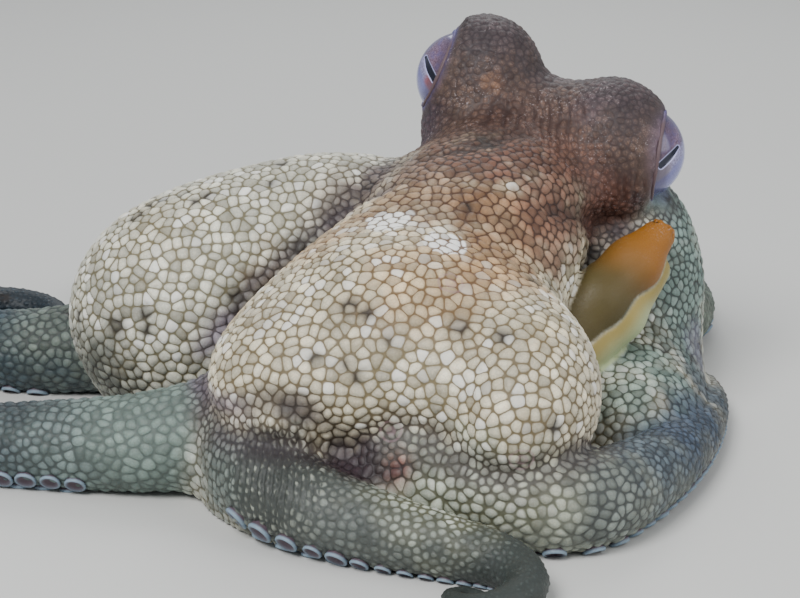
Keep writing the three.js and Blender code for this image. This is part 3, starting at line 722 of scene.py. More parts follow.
# Painted shade along folds and valleys, darker lines in the creases: way, reach, colour, strength.
SHADE_LINES = [
    (VALLEYS[2][0], 2.4, "4c424c", 0.8),
    (VALLEYS[3][0], 1.6, "3a2a28", 0.6),
    ([(-46, -29, 39), (-51, -31, 31), (-51, -50, 29), (-46, -70, 30), (-39, -80, 32)],
     3.2, "85788c", 0.7),
    ([(-42, -80, 31), (-31, -84, 36), (-22, -86, 33), (-15, -84, 24), (-10, -85, 18)],
     3.4, "30242c", 0.9),
    ([(-14, -85, 20), (-4, -87, 18), (6, -88, 20)], 2.8, "35242a", 0.8),
    ([(40, -24, 66), (51, -4, 58), (60, 8, 53)], 3.2, "38241e", 0.8),
    ([(46, -84, 14), (44, -70, 20), (48, -50, 22)], 3.0, "4a4440", 0.6),
]
# Clusters of white cells, and raised rings with a darker middle.
WHITE = [((-3, -45, 69), 5.6), ((11, -56, 67), 4.6)]
ROSETTES = [((12, -71, 60), 3.6), ((-2, -82, 27), 3.2), ((28, -99, 26), 3.4)]
RANDOM_SPOTS = 150


def way_distance(p, way):
    """Distance from each point to a way of straight stretches."""
    near = np.full(p.shape[:-1], FAR, np.float32)
    for a, b in zip(way[:-1], way[1:]):
        near = np.minimum(near, rod(p, a, b, 0, 0))
    return near


def near_any(p, spots):
    """Nearness, 0 to 1, to the nearest of some spots."""
    out = np.zeros(len(p))
    for centre, reach in spots:
        d = ((p - np.array(centre, np.float32)) ** 2).sum(1) / reach ** 2
        out = np.maximum(out, np.exp(-d))
    return out


# ---- cells of the skin ----
def scattered(points, size, rng):
    """Which points are middles of cells: large cells first, then small ones between them."""
    order = rng.permutation(len(points))
    third = len(points) // 3
    held = {}
    large, small = [], []
    where = points.tolist()
    sizes = size.tolist()
    h = CELL_MAX

    def free(p, reach):
        i, j, k = int(p[0] // h), int(p[1] // h), int(p[2] // h)
        for di in (-1, 0, 1):
            for dj in (-1, 0, 1):
                for dk in (-1, 0, 1):
                    for q in held.get((i + di, j + dj, k + dk), ()):
                        if (p[0] - q[0]) ** 2 + (p[1] - q[1]) ** 2 + (p[2] - q[2]) ** 2 < reach:
                            return False
        held.setdefault((i, j, k), []).append(p)
        return True

    for share, group, tried in ((1.0, large, order[:third]), (SMALL_CELL, small, order[third:2 * third])):
        for n in tried.tolist():
            if free(where[n], (share * sizes[n]) ** 2):
                group.append(n)
    return np.array(large), np.array(small)


def nearest_seeds(points, seeds):
    """The SEEDS_NEAR nearest seeds of each point."""
    tree = KDTree(len(seeds))
    for n, seed in enumerate(seeds.tolist()):
        tree.insert(seed, n)
    tree.balance()
    find = tree.find_n
    return np.array([[hit[1] for hit in find(p, SEEDS_NEAR)] for p in points.tolist()], np.int32)


def cell_edges(points, seeds, grain):
    """Rounded distance from each point to the edge of its cell. seeds is (n, k, 3) and grain the way
    in which cells are long there."""
    e = points[:, None] - seeds
    q = (e ** 2).sum(-1) - np.einsum("nkc,nc->nk", e, grain) ** 2
    first = q.argmin(1)
    rows = np.arange(len(points))
    between = np.sqrt(((seeds - seeds[rows, first][:, None]) ** 2).sum(-1))
    away = (q - q[rows, first][:, None]) / (2 * np.maximum(between, 1e-3))
    share = np.exp(-away / CELL_ROUND)
    share[rows, first] = 0
    return -CELL_ROUND * np.log(np.maximum(share.sum(1), 1e-9))


def wrinkles(p, rough, broad):
    """Depth of the fine wrinkles at each point, and the way they run there, as long as they are strong."""
    deep = np.zeros(len(p))
    along = np.zeros_like(p)
    for centre, reach, runs, across, spacing, depth in WRINKLES:
        runs, across = unit(runs), unit(across)
        share = np.exp(-((p - np.array(centre)) ** 2).sum(1) / reach ** 2)
        phase = p @ across / spacing + (rough - 0.5) * WRINKLE_WANDER + (broad - 0.5) * WRINKLE_WANDER
        off = np.abs(phase - np.round(phase)) * spacing
        deep += depth * share * np.exp(-(off / WRINKLE_WIDTH) ** 2)
        along += runs * share[:, None]
    return deep, along


def cells_of(p, n, faces, size, grain, rng):
    """The cells: the middles nearest to each face, ranked, the grain of each face, and the distance from
    each point to the edge of its cell."""
    long = np.linalg.norm(grain, axis=1, keepdims=True)
    grain = grain * np.minimum(1, MOST_GRAIN / np.maximum(long, 1e-6))
    large, small = scattered(p, size, rng)
    seeds = np.vstack([p[large], p[small] - n[small] * SMALL_SUNK])
    middles = p[faces].mean(1)
    near = nearest_seeds(middles, seeds)
    face_grain = grain[faces].mean(1)
    e = middles[:, None] - seeds[near]
    q = (e ** 2).sum(-1) - np.einsum("nkc,nc->nk", e, face_grain) ** 2
    ranked = np.take_along_axis(near, q.argsort(1), 1)
    one_face = np.zeros(len(p), np.int64)
    one_face[faces.ravel()] = np.repeat(np.arange(len(faces)), 4)
    edge = cell_edges(p, seeds[near[one_face]], grain)
    return seeds[ranked[:, :SEEDS_USED]], face_grain, edge


def skin(p, faces):
    """The finished skin: points with their relief, and what the material reads at each point or face."""
    n = normals_of(p, faces)
    head, mantle, body = body_fields(p)
    web = blobs(p, WEB, WEB_BLEND)
    arm, along, side, thick, way, which = arm_places(p)
    funnel, collar = chain(p, FUNNEL, TUBE_BLEND), chain(p, COLLAR, TUBE_BLEND)
    eye = eye_nearness(p)
    broad = noise(p, BROAD_NOISE, 3.0)
    rough = noise(p, ROUGH_NOISE, 9.0)

    flesh = np.minimum(np.minimum(body, web), arm)
    on_body = ease(np.minimum(web, arm) - body, -1.5, 2.5)
    on_head = ease(mantle - head + (rough - 0.5) * 14, -8, 14) * on_body
    on_arm = ease(web - arm, -3, 9) * (1 - on_body)
    on_funnel = ease(np.minimum(flesh, collar) - funnel, -0.3, 0.6)
    on_collar = ease(np.minimum(flesh, funnel) - collar, -0.3, 0.6) * (1 - on_funnel)
    smooth = np.maximum(on_funnel, on_collar)
    in_fold = 1 - ease(np.abs(body - np.minimum(web, arm)), 1, 9)

    tone = np.tile(CREAM, (len(p), 1))
    groove = np.tile(OLIVE, (len(p), 1))
    tone = blend_to(tone, LOBE_TONE, 1 - on_body)
    groove = blend_to(groove, LOBE_GROOVE, 1 - on_body)
    for number, name in enumerate(arms):
        share = on_arm * (which == number)
        outward = ease(along + (broad - 0.5) * 40, 35, 135)[:, None]
        close, far = (colour(text) for text in ARM_TONES[name])
        own = close + (far - close) * outward
        tone = blend_to(tone, own, share)
        groove = blend_to(groove, own * (0.42 - 0.1 * outward), share)
    tone = blend_to(tone, HEAD_TONE, on_head)
    groove = blend_to(groove, HEAD_GROOVE, on_head)
    lid = 1 - ease(eye, 0.2, 2.6)
    # Painted shade: away from the head the skin is darkened, by up to a quarter, towards the floor.
    floor_shade = (1 - on_head) * (1 - ease(p[:, 2] + (broad - 0.5) * 20, 2, 26))
    tone = tone * (1 - 0.25 * floor_shade)[:, None]
    for centre, reach, cell, between, strength in PATCHES:
        d = np.sqrt(((p - np.array(centre, np.float32)) ** 2).sum(1)) / reach
        share = strength * ease(1.5 - d + (rough - 0.5) * 1.3, 0.0, 1.1)
        tone = blend_to(tone, colour(cell), share)
        groove = blend_to(groove, colour(between), share)
    # Painted shade: darker lines along the folds, with still darker grooves.
    for line, reach, text, strength in SHADE_LINES:
        d = way_distance(p.astype(np.float32), line) / (reach * (0.7 + 0.6 * rough))
        share = strength * np.exp(-d ** 2)
        tone = blend_to(tone, colour(text), share)
        groove = blend_to(groove, colour(text) * 0.35, share)
    # Painted shade: the crease where the body meets the web and the arms is darkened to purple-grey.
    fold = in_fold * (1 - on_head) * (1 - smooth) * ease(p[:, 2], 0, 12)
    tone = blend_to(tone, FOLD_SHADE, 0.62 * fold * ease(rough, 0.25, 0.6))
    groove = blend_to(groove, FOLD_SHADE * 0.4, 0.7 * fold)
    collar_edge = 1 - ease(funnel, 0.8, 4.5)
    tone = blend_to(tone, blend_to(COLLAR_TONE, COLLAR_EDGE, collar_edge * 0.8), on_collar)
    first, last = np.array(FUNNEL[0][0]), np.array(FUNNEL[-1][0])
    toward = (p - first) @ (last - first) / ((last - first) ** 2).sum()
    orange = blend_to(FUNNEL_ROOT, FUNNEL_TONE, ease(toward + (broad - 0.5) * 0.5, 0.35, 0.95))
    orange = blend_to(orange, FUNNEL_LIP, ease(toward + (rough - 0.5) * 0.06, 1.04, 1.1))
    tone = blend_to(tone, orange, on_funnel)
    # Painted reflection: the skin round each eye takes a violet tint, weakest on the side toward the
    # camera.
    toward_camera = np.clip(0.5 - 0.1 * (p[:, 1] - 20), 0, 1)
    tone = blend_to(tone, LID_SHEEN, lid * (0.85 - 0.6 * toward_camera))
    groove = blend_to(groove, tone, np.maximum(smooth, lid))
    wrinkle, along_wrinkle = wrinkles(p, rough, broad)
    wrinkle = wrinkle * (1 - smooth) * (1 - lid)

    rng = np.random.default_rng(8)
    hidden = np.where((p[:, 1] > -15) & (p[:, 2] > 8) & (on_head < 0.3) & (smooth < 0.1))[0]
    chosen = rng.choice(hidden, RANDOM_SPOTS, replace=False)
    others = [(p[n], 2.0 + 1.4 * rng.random()) for n in chosen]
    spot = near_any(p, SPOTS + others) * (1 - smooth)
    around = near_any(p, [(c, 2.3 * r) for c, r in SPOTS]) * (1 - smooth)
    tone = tone * (1 - 0.3 * around)[:, None]
    rosette = near_any(p, ROSETTES)

    size = CELL * (1 - 0.32 * on_head) * (1 - 0.3 * in_fold * (1 - on_head))
    size = size * (1 - on_arm * (1 - np.clip(thick / 13, 0.35, 1.0))) * (0.85 + 0.3 * broad)
    grain = np.zeros_like(p)
    grain[:, :2] += way * (0.55 * on_arm)[:, None]
    flank = (1 - on_body) * ease(p[:, 0], 45, 60) * (1 - on_arm)
    grain += flank[:, None] * np.array((0.1, 0.1, 0.72))
    grain += 0.75 * along_wrinkle
    size = size * (1 - 0.3 * np.clip(np.linalg.norm(along_wrinkle, axis=1), 0, 1) * (1 - on_head))
    middles, face_grain, edge = cells_of(p, n, faces, size, grain, rng)

    cells = ease(eye, 0.8, 4.5) * (1 - smooth)
    groove_depth = 0.4 * np.exp(-(edge / 0.45) ** 2) + 0.2 * np.exp(-edge / 0.9)
    relief = -groove_depth * cells * (1 - 0.35 * on_head) - wrinkle
    relief += 0.5 * rosette - 0.35 * near_any(p, [(c, 0.45 * r) for c, r in ROSETTES])
    relief -= 0.25 * spot
    at_points = {
        "tone": tone, "groove": groove, "cells": cells, "smooth": smooth, "on_head": on_head,
        "spot": spot, "white": near_any(p, WHITE), "rosette": rosette, "wrinkle": wrinkle * 3,
    }
    at_faces = {f"seed_{k}": middles[:, k] - FOOT for k in range(SEEDS_USED)}
    at_faces["grain"] = face_grain
    return p + n * relief[:, None], at_points, at_faces


def keep_attribute(mesh, name, values, domain="POINT"):
    values = np.asarray(values, np.float32)
    if values.ndim == 1:
        mesh.attributes.new(name, "FLOAT", domain).data.foreach_set("value", values)
    elif name in ("tone", "groove"):
        rgba = np.ones((len(values), 4), np.float32)
        rgba[:, :3] = np.clip(values, 0, 1)
        mesh.attributes.new(name, "FLOAT_COLOR", "POINT").data.foreach_set("color", rgba.ravel())
    else:
        mesh.attributes.new(name, "FLOAT_VECTOR", domain).data.foreach_set("vector", values.ravel())


# ---- materials ----
class Nodes:
    """Short ways to make and join shader nodes."""

    def __init__(self, name):
        self.material = bpy.data.materials.new(name)
        self.material.use_nodes = True
        self.tree = self.material.node_tree
        self.shader = self.tree.nodes["Principled BSDF"]

    def put(self, socket, value):
        if isinstance(value, bpy.types.NodeSocket):
            self.tree.links.new(value, socket)
        else:
            socket.default_value = value

    def finish(self, **values):
        """Sets the shader's own sockets, each named with underscores for spaces."""
        for key, value in values.items():
            self.put(self.shader.inputs[key.replace("_", " ")], value)
        return self.material

    def new(self, kind, inputs=None, **settings):
        node = self.tree.nodes.new(kind)
        for key, value in settings.items():
            setattr(node, key, value)
        for key, value in (inputs or {}).items():
            self.put(node.inputs[key], value)
        return node

    def attribute(self, name, output="Fac"):
        return self.new("ShaderNodeAttribute", attribute_name=name).outputs[output]

    def noise(self, place, scale, detail, roughness=0.5):
        inputs = {"Vector": place, "Scale": scale, "Detail": detail, "Roughness": roughness}
        return self.new("ShaderNodeTexNoise", inputs).outputs["Fac"]

    def cracks(self, place, scale):
        inputs = {"Vector": place, "Scale": scale}
        return self.new("ShaderNodeTexVoronoi", inputs, feature="DISTANCE_TO_EDGE").outputs["Distance"]

    def math(self, operation, *values):
        return self.new("ShaderNodeMath", dict(enumerate(values)), operation=operation).outputs[0]

    def times(self, *values):
        return reduce(lambda a, b: self.math("MULTIPLY", a, b), values)

    def plus(self, *values):
        return reduce(lambda a, b: self.math("ADD", a, b), values)

    def minus(self, a, b):
        return self.math("SUBTRACT", a, b)

    def rest(self, value):
        return self.minus(1.0, value)

    def vector(self, operation, a, b):
        """The vector operation's vector, or its number for a dot product or a distance."""
        inputs = {0: a, 3 if operation == "SCALE" else 1: b}
        node = self.new("ShaderNodeVectorMath", inputs, operation=operation)
        return node.outputs[1 if operation in ("DOT_PRODUCT", "DISTANCE") else 0]

    def ramp(self, value, low, high, from_value=0.0, to_value=1.0):
        inputs = {"Value": value, "From Min": low, "From Max": high,
                  "To Min": from_value, "To Max": to_value}
        node = self.new("ShaderNodeMapRange", inputs, interpolation_type="SMOOTHSTEP", clamp=True)
        return node.outputs[0]

    def mix(self, share, a, b):
        """Colour a, and b where share is 1; each is a socket or a linear colour."""
        a, b = (c if isinstance(c, bpy.types.NodeSocket) else (*c, 1.0) for c in (a, b))
        return self.new("ShaderNodeMix", {0: share, 6: a, 7: b}, data_type="RGBA").outputs[2]

    def parts(self, socket, kind="Color"):
        node = self.new("ShaderNodeSeparate" + ("Color" if kind == "Color" else "XYZ"), {kind: socket})
        return node.outputs[0], node.outputs[1], node.outputs[2]


def skin_material():
    """Cells with grooves between them, in the colours that each point carries."""
    m = Nodes("octopus_skin")
    place = m.vector("SCALE", m.new("ShaderNodeTexCoord").outputs["Object"], 1 / MM)
    tone = m.attribute("tone", "Color")
    groove = m.attribute("groove", "Color")
    cells, smooth, on_head = m.attribute("cells"), m.attribute("smooth"), m.attribute("on_head")
    long_way = m.attribute("grain", "Vector")

    # The cells: each face knows the middles of the nearest ones.
    seeds = [m.attribute(f"seed_{k}", "Vector") for k in range(SEEDS_USED)]
    squares = []
    for seed in seeds:
        off = m.vector("SUBTRACT", place, seed)
        along = m.vector("DOT_PRODUCT", off, long_way)
        squares.append(m.minus(m.vector("DOT_PRODUCT", off, off), m.times(along, along)))
    least = reduce(lambda a, b: m.math("MINIMUM", a, b), squares)
    chosen = [m.math("LESS_THAN", square, m.plus(least, SAME)) for square in squares]
    middle = reduce(lambda a, b: m.vector("ADD", a, b), map(partial(m.vector, "SCALE"), seeds, chosen))
    shares = []
    for seed, square, is_it in zip(seeds, squares, chosen):
        between = m.math("MAXIMUM", m.vector("DISTANCE", seed, middle), 0.01)
        away = m.math("DIVIDE", m.minus(square, least), m.times(between, 2.0))
        share = m.math("EXPONENT", m.math("DIVIDE", away, -CELL_ROUND))
        shares.append(m.times(share, m.rest(is_it)))
    edge = m.times(m.math("LOGARITHM", m.math("MAXIMUM", m.plus(*shares), 1e-9), math.e), -CELL_ROUND)
    # Three numbers by chance for each cell.
    chance = m.parts(m.new("ShaderNodeTexWhiteNoise", {"Vector": middle}).outputs["Color"])

    grain = m.noise(place, 2.4, 4.0, 0.65)
    patch = m.noise(place, 0.12, 3.0)
    patch_fine = m.noise(place, 0.35, 2.0)
    fleck = m.cracks(place, 0.85)

    spot, white, rosette = m.attribute("spot"), m.attribute("white"), m.attribute("rosette")
    above_floor = m.parts(place, "Vector")[2]
    wrinkle = m.attribute("wrinkle")
    # How bright a place is: by cell, by patch, by grain and fleck, and by painted shade that darkens each
    # rounded cell towards its edge and lightens its middle a little.
    lighter = m.ramp(chance[0], 0.0, 1.0, 0.72, 1.2)
    by_patch = m.ramp(patch, 0.3, 0.7, 0.78, 1.14)
    by_grain = m.ramp(grain, 0.25, 0.75, 0.88, 1.1)
    by_fleck = m.ramp(fleck, 0.02, 0.2, 0.93, 1.03)
    rounded = m.ramp(edge, 0.1, 1.2, 0.86, 1.06)
    shade = m.times(lighter, by_patch, by_grain, by_fleck, rounded)
    shade = m.plus(m.times(m.minus(shade, 1.0), m.rest(smooth)), 1.0)
    lit = m.vector("SCALE", tone, shade)
    # Some cells are pale, most of them where the skin is light, high and off the head, and some dark.
    bright = m.vector("DOT_PRODUCT", tone, (0.33, 0.33, 0.33))
    pale = m.times(m.ramp(chance[1], 0.8, 0.92), m.rest(on_head), by_patch,
                   m.ramp(above_floor, 6.0, 40.0, 0.15, 0.6), m.ramp(bright, 0.2, 0.5))
    in_cluster = m.ramp(m.plus(white, m.times(chance[2], 0.25)), 0.36, 0.44)
    pale = m.times(m.math("MAXIMUM", pale, in_cluster), cells)
    lit = m.mix(m.times(pale, 0.95), lit, PALE_TONE)
    dark_cell = m.times(m.ramp(chance[2], 0.78, 0.95), 0.45)
    lit = m.mix(m.times(dark_cell, cells), lit, groove)

    # The grooves: between cells, between the granules of the head, and along wrinkles, where the groove
    # colour is painted shade in the creases.
    width = m.plus(m.times(patch_fine, 0.6), 0.04)
    line = m.times(m.ramp(edge, 0.0, width, 0.95, 0.0), cells, m.rest(m.times(on_head, 0.25)))
    granule = m.cracks(place, 1.25)
    between = m.times(m.ramp(granule, 0.0, 0.16, 0.6, 0.0), on_head)
    line = m.math("MAXIMUM", m.math("MAXIMUM", line, between), m.ramp(wrinkle, 0.2, 1.3, 0.0, 0.9))
    shown = m.mix(line, lit, groove)
    # Pale specks on the head, dark spots, and raised rings.
    specks = m.noise(place, 1.7, 3.0, 0.7)
    frost = m.times(m.ramp(specks, 0.58, 0.68), on_head, m.ramp(patch, 0.42, 0.62))
    shown = m.mix(m.times(frost, 0.55), shown, SPECK_TONE)
    beside = m.plus(0.5, m.ramp(edge, 0.1, 0.9, 0.5, 0.0))
    dark = m.times(m.ramp(spot, 0.1, 1.0), beside)
    shown = m.mix(m.times(dark, 0.85), shown, SPOT_TONE)
    ring = m.times(m.ramp(m.math("SINE", m.times(rosette, 16.0)), 0.0, 0.9), m.ramp(rosette, 0.1, 0.4))
    shown = m.mix(m.times(ring, 0.3), shown, colour("a08088"))

    height = m.plus(m.times(line, -0.6), m.times(grain, 0.5))
    bump = m.new("ShaderNodeBump", {"Height": height, "Strength": 0.5, "Distance": 0.0004}).outputs[0]
    return m.finish(Base_Color=shown, Normal=bump, Roughness=m.ramp(grain, 0.3, 0.7, 0.42, 0.62),
                    Subsurface_Weight=0.12, Subsurface_Radius=(0.004, 0.0025, 0.0016),
                    Subsurface_Scale=0.4, Specular_IOR_Level=0.4)


# ---- eyes ----
PUPIL_BOW = 0.012          # how much the pupil bends
PUPIL_HALF = 0.95          # half its height
PUPIL_DEPTH = 0.35
EYE_RINGS, EYE_SIDES = 90, 120


def pupil_axes(spec):
    """Unit vectors from the middle of an eye to that of its pupil, along the pupil and up across it, and
    half the pupil's length over the ball."""
    first, last = (unit(end) for end in spec["pupil"])
    middle, along = unit(first + last), unit(last - first)
    up = np.cross(middle, along)
    return middle, along, up * np.sign(up[2]), EYE_RADIUS * math.acos(first @ last) / 2


def eye_material(name):
    """Iris, pupil and clear coat. It reads where a point is from the middle of the pupil: along it, up
    across it, and how far from the middle of the opening, all in millimetres over the ball."""
    spec = EYES[name]
    half = pupil_axes(spec)[3]
    m = Nodes("octopus_" + name)
    place = m.attribute("gaze", "Vector")
    along, up, off = m.parts(place, "Vector")
    grain = m.noise(place, 1.6, 6.0, 0.75)
    broad = m.noise(place, 0.3, 3.0)
    speck = m.noise(place, 3.2, 2.0)
    # The pupil is a bar with round ends, narrower at its far end.
    past = m.math("MAXIMUM", m.minus(m.math("ABSOLUTE", along), half - 0.9), 0.0)
    wide = m.ramp(along, -half, 0.3 * half, 0.45, PUPIL_HALF)
    from_bar = m.math("SQRT", m.plus(m.times(past, past), m.times(up, up)))
    from_bar = m.minus(from_bar, wide)
    upper = m.mix(m.ramp(grain, 0.36, 0.64), colour("6b4a48"), colour("a8837a"))
    upper = m.mix(m.times(m.ramp(speck, 0.56, 0.66), 0.5), upper, colour("c9a9a6"))
    upper = m.mix(m.ramp(broad, 0.45, 0.65, 0.0, 0.6), upper, colour("7a6c86"))
    lower = m.mix(m.ramp(grain, 0.38, 0.62), colour("8f7c78"), colour("cfc6c4"))
    lower = m.mix(m.ramp(up, -4.5, -2.0, 0.8, 0.0), lower, colour("8d88a6"))
    near_end = m.times(m.ramp(along, 0.1 * half, 0.6 * half), m.ramp(up, -4.6, -3.0))
    near_end = m.times(near_end, m.ramp(along, half + 1.5, half + 3.5, 1.0, 0.0))
    lower = m.mix(m.times(near_end, 0.85), lower, colour(spec["spot"]))
    iris = m.mix(m.ramp(up, -0.5, 0.5), lower, upper)
    iris = m.mix(m.ramp(off, 9.0, 11.5, 0.0, 0.6), iris, colour("5d4a48"))
    edge = m.ramp(from_bar, 0.28, 0.45, 0.9, 0.0)
    shown = m.mix(edge, iris, colour("e8e0e2"))
    shown = m.mix(m.ramp(from_bar, 0.0, 0.16, 1.0, 0.0), shown, colour("04060f"))
    return m.finish(Base_Color=shown, Roughness=0.25, Coat_Weight=1.0, Coat_Roughness=0.12, Coat_IOR=1.38,
                    Coat_Tint=(0.62, 0.66, 1.0, 1.0), Sheen_Weight=0.3, Sheen_Roughness=0.14,
                    Sheen_Tint=(0.22, 0.28, 1.0, 1.0))


# ---- suckers ----
CUP_SIDES = 14
# The cup's outline from its root in the arm, over the rim and into its bowl, in radii.
CUP = [(0.8, -1.0), (0.9, -0.4), (0.98, -0.05), (1.04, 0.16), (1.0, 0.3), (0.9, 0.34), (0.76, 0.27),
       (0.58, 0.12), (0.36, 0.04), (0.14, 0.02)]
CUP_SHARE = 0.27           # a sucker's radius, of the arm's
CUP_PITCH = 2.1            # distance between suckers of a row, in their radii
CUP_ROWS = [(-50, 0.0), (-82, 0.5)]     # each row: angle round the arm, and how far on it starts
CUP_START = 60.0           # how far along an arm they start
CUP_START_UNDER = 30.0     # and along one that starts under the mantle


def cup_faces():
    """Faces of one sucker, closed at both ends."""
    faces = grid_faces(len(CUP), CUP_SIDES)[:, [0, 3, 2, 1]].tolist()
    for first, turn in ((0, -1), ((len(CUP) - 1) * CUP_SIDES, 1)):
        for k in range(CUP_SIDES // 2 - 1):
            quad = [k, k + 1, CUP_SIDES - 2 - k, CUP_SIDES - 1 - k]
            faces.append([first + v for v in quad[::turn]])
    return np.array(faces)


def suckers():
    """Every sucker: points, faces, and how pale each point is (1 on the rim)."""
    outline = np.array(CUP)
    on_rim = np.exp(-((outline[:, 0] - 1) / 0.2) ** 2) * (outline[:, 1] > 0)
    turn = np.arange(CUP_SIDES) * 2 * math.pi / CUP_SIDES
    one = cup_faces()
    points, faces, rim = [], [], []
    for number, (name, arm) in enumerate(arms.items()):
        side = arm.spec["suckers"]
        for angle, shift in CUP_ROWS:
            s, lead = (CUP_START_UNDER if arm.spec["under"] else CUP_START), shift
            while s < arm.total - 1:
                thick = float(arm.radius(s))
                cup = CUP_SHARE * thick
                s, lead = s + lead * CUP_PITCH * cup, 0
                heading = arm.heading(s)
                roll = math.radians(angle + 13 * math.sin(s / 19 + 2 * number))
                left = np.array((-heading[1], heading[0], 0.0)) * side
                out = left * math.cos(roll) + np.array((0, 0, math.sin(roll)))
                along = np.array((heading[0], heading[1], 0.0))
                third = np.cross(out, along)
                centre = arm.at(s) + out * (thick - SHRINK)
                size = cup * (0.93 + 0.1 * math.sin(3.7 * s + number))
                ring = along * np.cos(turn)[:, None] + third * np.sin(turn)[:, None]
                across, above = outline[:, 0, None, None], outline[:, 1, None, None]
                cup_points = centre + size * (across * ring + above * out)
                faces.append(one + len(points) * len(CUP) * CUP_SIDES)
                points.append(cup_points.reshape(-1, 3))
                rim.append(np.repeat(on_rim, CUP_SIDES))
                s += CUP_PITCH * cup
    return np.concatenate(points), np.concatenate(faces), np.concatenate(rim)


# ---- folds round the eyes ----
FOLD_STEPS, FOLD_SIDES = 128, 12


def eye_folds():
    """The clean inner edge of the skin round each eye: points, faces, and how strongly each point shows
    the painted violet reflection.
    """
    points, faces, rim_sheen = [], [], []
    for spec in EYES.values():
        centre, gaze, ring, height = eye_axes(spec)
        first = unit(np.cross(gaze, (0, 1, 0)))
        second = np.cross(gaze, first)
        a = np.arange(FOLD_STEPS)[:, None] * 2 * math.pi / FOLD_STEPS
        b = np.arange(FOLD_SIDES)[None, :] * 2 * math.pi / FOLD_SIDES
        thick = LID_THICK * (1 + 0.08 * np.sin(5 * a) + 0.05 * np.sin(11 * a))
        out = ring + thick * np.cos(b)
        made = (centre + (out * np.cos(a))[..., None] * first + (out * np.sin(a))[..., None] * second
                + (height + thick * np.sin(b))[..., None] * gaze)
        start = sum(len(other) for other in points)
        made = made.reshape(-1, 3)
        away = ((made - centre) @ (0, 1, 0)) / EYE_RADIUS
        high = ((made - centre) @ (0, 0, 1)) / EYE_RADIUS
        # painted reflection: most violet away from the camera and at the top and bottom
        rim_sheen.append(np.clip(0.55 + away * 1.2 + 0.5 * np.abs(high), 0.15, 1))
        faces.append(start + grid_faces(FOLD_STEPS, FOLD_SIDES, closed=True))
        points.append(made)
    return np.concatenate(points), np.concatenate(faces), np.concatenate(rim_sheen)


# ---- the pieces ----
MARGIN = 3                 # steps of the grid round the solids' box
INSIDE = 0.05              # least distance from the skin to the sides of that box
NO_SEED = 500.0            # a cell's middle so far off that it draws nothing


def build_skin():
    low, high = np.array(cad_low) / MM + FOOT, np.array(cad_high) / MM + FOOT
    volume = Volume(low - MARGIN * GRID, high + MARGIN * GRID, GRID)
    points, faces = surface_nets(skin_volume(volume), volume.low, GRID)
    points, faces = subdivided(points, faces)
    points, at_points, at_faces = skin(points, faces)
    cups, cup_quads, rim = suckers()
    folds, fold_quads, rim_sheen = eye_folds()
    more = blend_to(np.tile(CUP_BOWL, (len(cups), 1)), CUP_RIM, rim)
    # The folds round the eyes run from a darker head tone on the side toward the camera to the painted
    # violet reflection.
    more = np.vstack([more, blend_to(np.tile(HEAD_TONE * 0.8, (len(folds), 1)), LID_SHEEN, rim_sheen)])
    cup_quads = np.vstack([cup_quads, fold_quads + len(cups)])
    cups = np.vstack([cups, folds])
    faces = np.vstack([faces, cup_quads + len(points)])
    points = np.vstack([points, cups])
    plain = {"cells": 0.0, "smooth": 1.0}
    for name, values in at_points.items():
        extra = np.full((len(cups),) + values.shape[1:], plain.get(name, 0.0))
        if name in ("tone", "groove"):
            extra = more
        at_points[name] = np.concatenate([values, extra])
    for name, values in at_faces.items():
        extra = np.full((len(cup_quads), 3), NO_SEED if name.startswith("seed") else 0.0)
        at_faces[name] = np.vstack([values, extra])
    points = np.clip(points, low + INSIDE, high - INSIDE)
    mesh = mesh_of("octopus_skin", (points - FOOT) * MM, faces)
    for name, values in at_points.items():
        keep_attribute(mesh, name, values)
    for name, values in at_faces.items():
        keep_attribute(mesh, name, values, "FACE")
    mesh.shade_smooth()
    mesh.materials.append(skin_material())
    return object_of("octopus_skin", mesh)


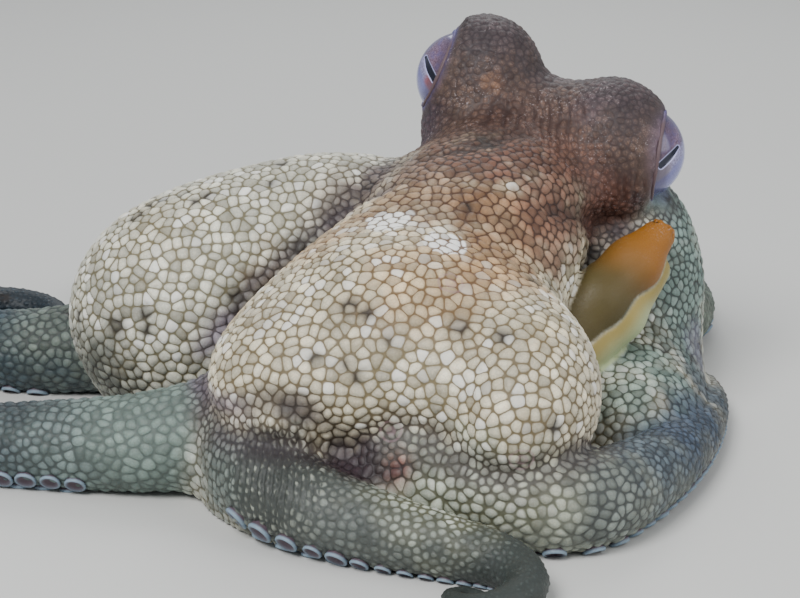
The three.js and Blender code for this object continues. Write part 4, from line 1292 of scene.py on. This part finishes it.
def build_eye(name):
    spec = EYES[name]
    centre, gaze, _, _ = eye_axes(spec)
    middle, along, up, half = pupil_axes(spec)
    theta = np.linspace(0, math.pi, EYE_RINGS + 1)[1:-1]
    phi = np.arange(EYE_SIDES) * 2 * math.pi / EYE_SIDES
    t, f = np.meshgrid(theta, phi, indexing="ij")
    ball = np.stack([np.sin(t) * np.cos(f), np.sin(t) * np.sin(f), np.cos(t)], -1).reshape(-1, 3)
    ball = np.vstack([[0, 0, 1], ball, [0, 0, -1]])
    ball = ball @ np.stack([along, up, middle])
    x, y, z = ball @ along, ball @ up, ball @ middle
    place = np.stack([EYE_RADIUS * np.arctan2(x, z), EYE_RADIUS * np.arcsin(np.clip(y, -1, 1)),
                      EYE_RADIUS * np.arccos(np.clip(ball @ gaze, -1, 1))], -1)
    place[:, 1] += PUPIL_BOW * place[:, 0] ** 2
    inside = (1 - ease(np.abs(place[:, 1]), 0.6, 1.4)) * (1 - ease(np.abs(place[:, 0]), half - 1, half))
    points = centre + ball * (EYE_RADIUS - PUPIL_DEPTH * inside)[:, None]
    faces = (1 + grid_faces(EYE_RINGS - 1, EYE_SIDES)).tolist()
    last = len(points) - 1
    below = last - EYE_SIDES
    for j, k in enumerate(np.roll(np.arange(EYE_SIDES), -1).tolist()):
        faces += [(0, 1 + j, 1 + k), (last, below + k, below + j)]
    mesh = bpy.data.meshes.new(name + "_ball")
    mesh.from_pydata(((points - FOOT) * MM).tolist(), [], faces)
    keep_attribute(mesh, "gaze", place)
    mesh.shade_smooth()
    mesh.materials.append(eye_material(name))
    return object_of(name + "_ball", mesh)


skin_object = build_skin()
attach(skin_object, "root")
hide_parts(*[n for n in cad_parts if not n.startswith("eye_")])
for name in EYES:
    ball = build_eye(name)
    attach(ball, "root")
    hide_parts(name)

# ---- floor, light and camera ----
floor_mesh = bpy.data.meshes.new("floor")
FLOOR = 3.0                # half its width, in metres
floor_corners = [(x * FLOOR, y * FLOOR, 0) for x, y in ((-1, -1), (1, -1), (1, 1), (-1, 1))]
floor_mesh.from_pydata(floor_corners, [], [(0, 1, 2, 3)])
floor = object_of("floor", floor_mesh)
paint = Nodes("floor_paint")
floor_mesh.materials.append(paint.finish(Base_Color=(0.62, 0.62, 0.6, 1), Roughness=0.8))

AIM = (0, 0, 0.04)
world = bpy.data.worlds.new("studio")
bpy.context.scene.world = world
world.use_nodes = True
sky = world.node_tree.nodes["Background"].inputs
sky["Color"].default_value = (0.8, 0.84, 0.88, 1)
sky["Strength"].default_value = 0.55


def area_light(name, at, power, size):
    """A soft light aimed at the model's middle."""
    light = bpy.data.lights.new(name, "AREA")
    light.energy = power
    light.size = size
    made = object_of(name, light)
    made.location = at
    made.rotation_euler = (Vector(AIM) - Vector(at)).to_track_quat("-Z", "Y").to_euler()
    return made


area_light("key", (-0.35, -0.75, 0.85), 13, 0.45)
area_light("fill", (0.8, -0.4, 0.5), 4, 0.7)
area_light("back", (0.1, 0.8, 0.8), 4, 0.6)

CAMERA_AT = np.array((0, -576.8, 201.4))
CAMERA_DOWN = 16           # degrees below level
camera = bpy.data.cameras.new("camera")
camera.sensor_width = 36
camera.lens = 99.26
camera.clip_start = 0.01
view = object_of("camera", camera)
view.location = ((CAMERA_AT - FOOT) * MM).tolist()
view.rotation_euler = (math.radians(90 - CAMERA_DOWN), 0, 0)
bpy.context.scene.camera = view
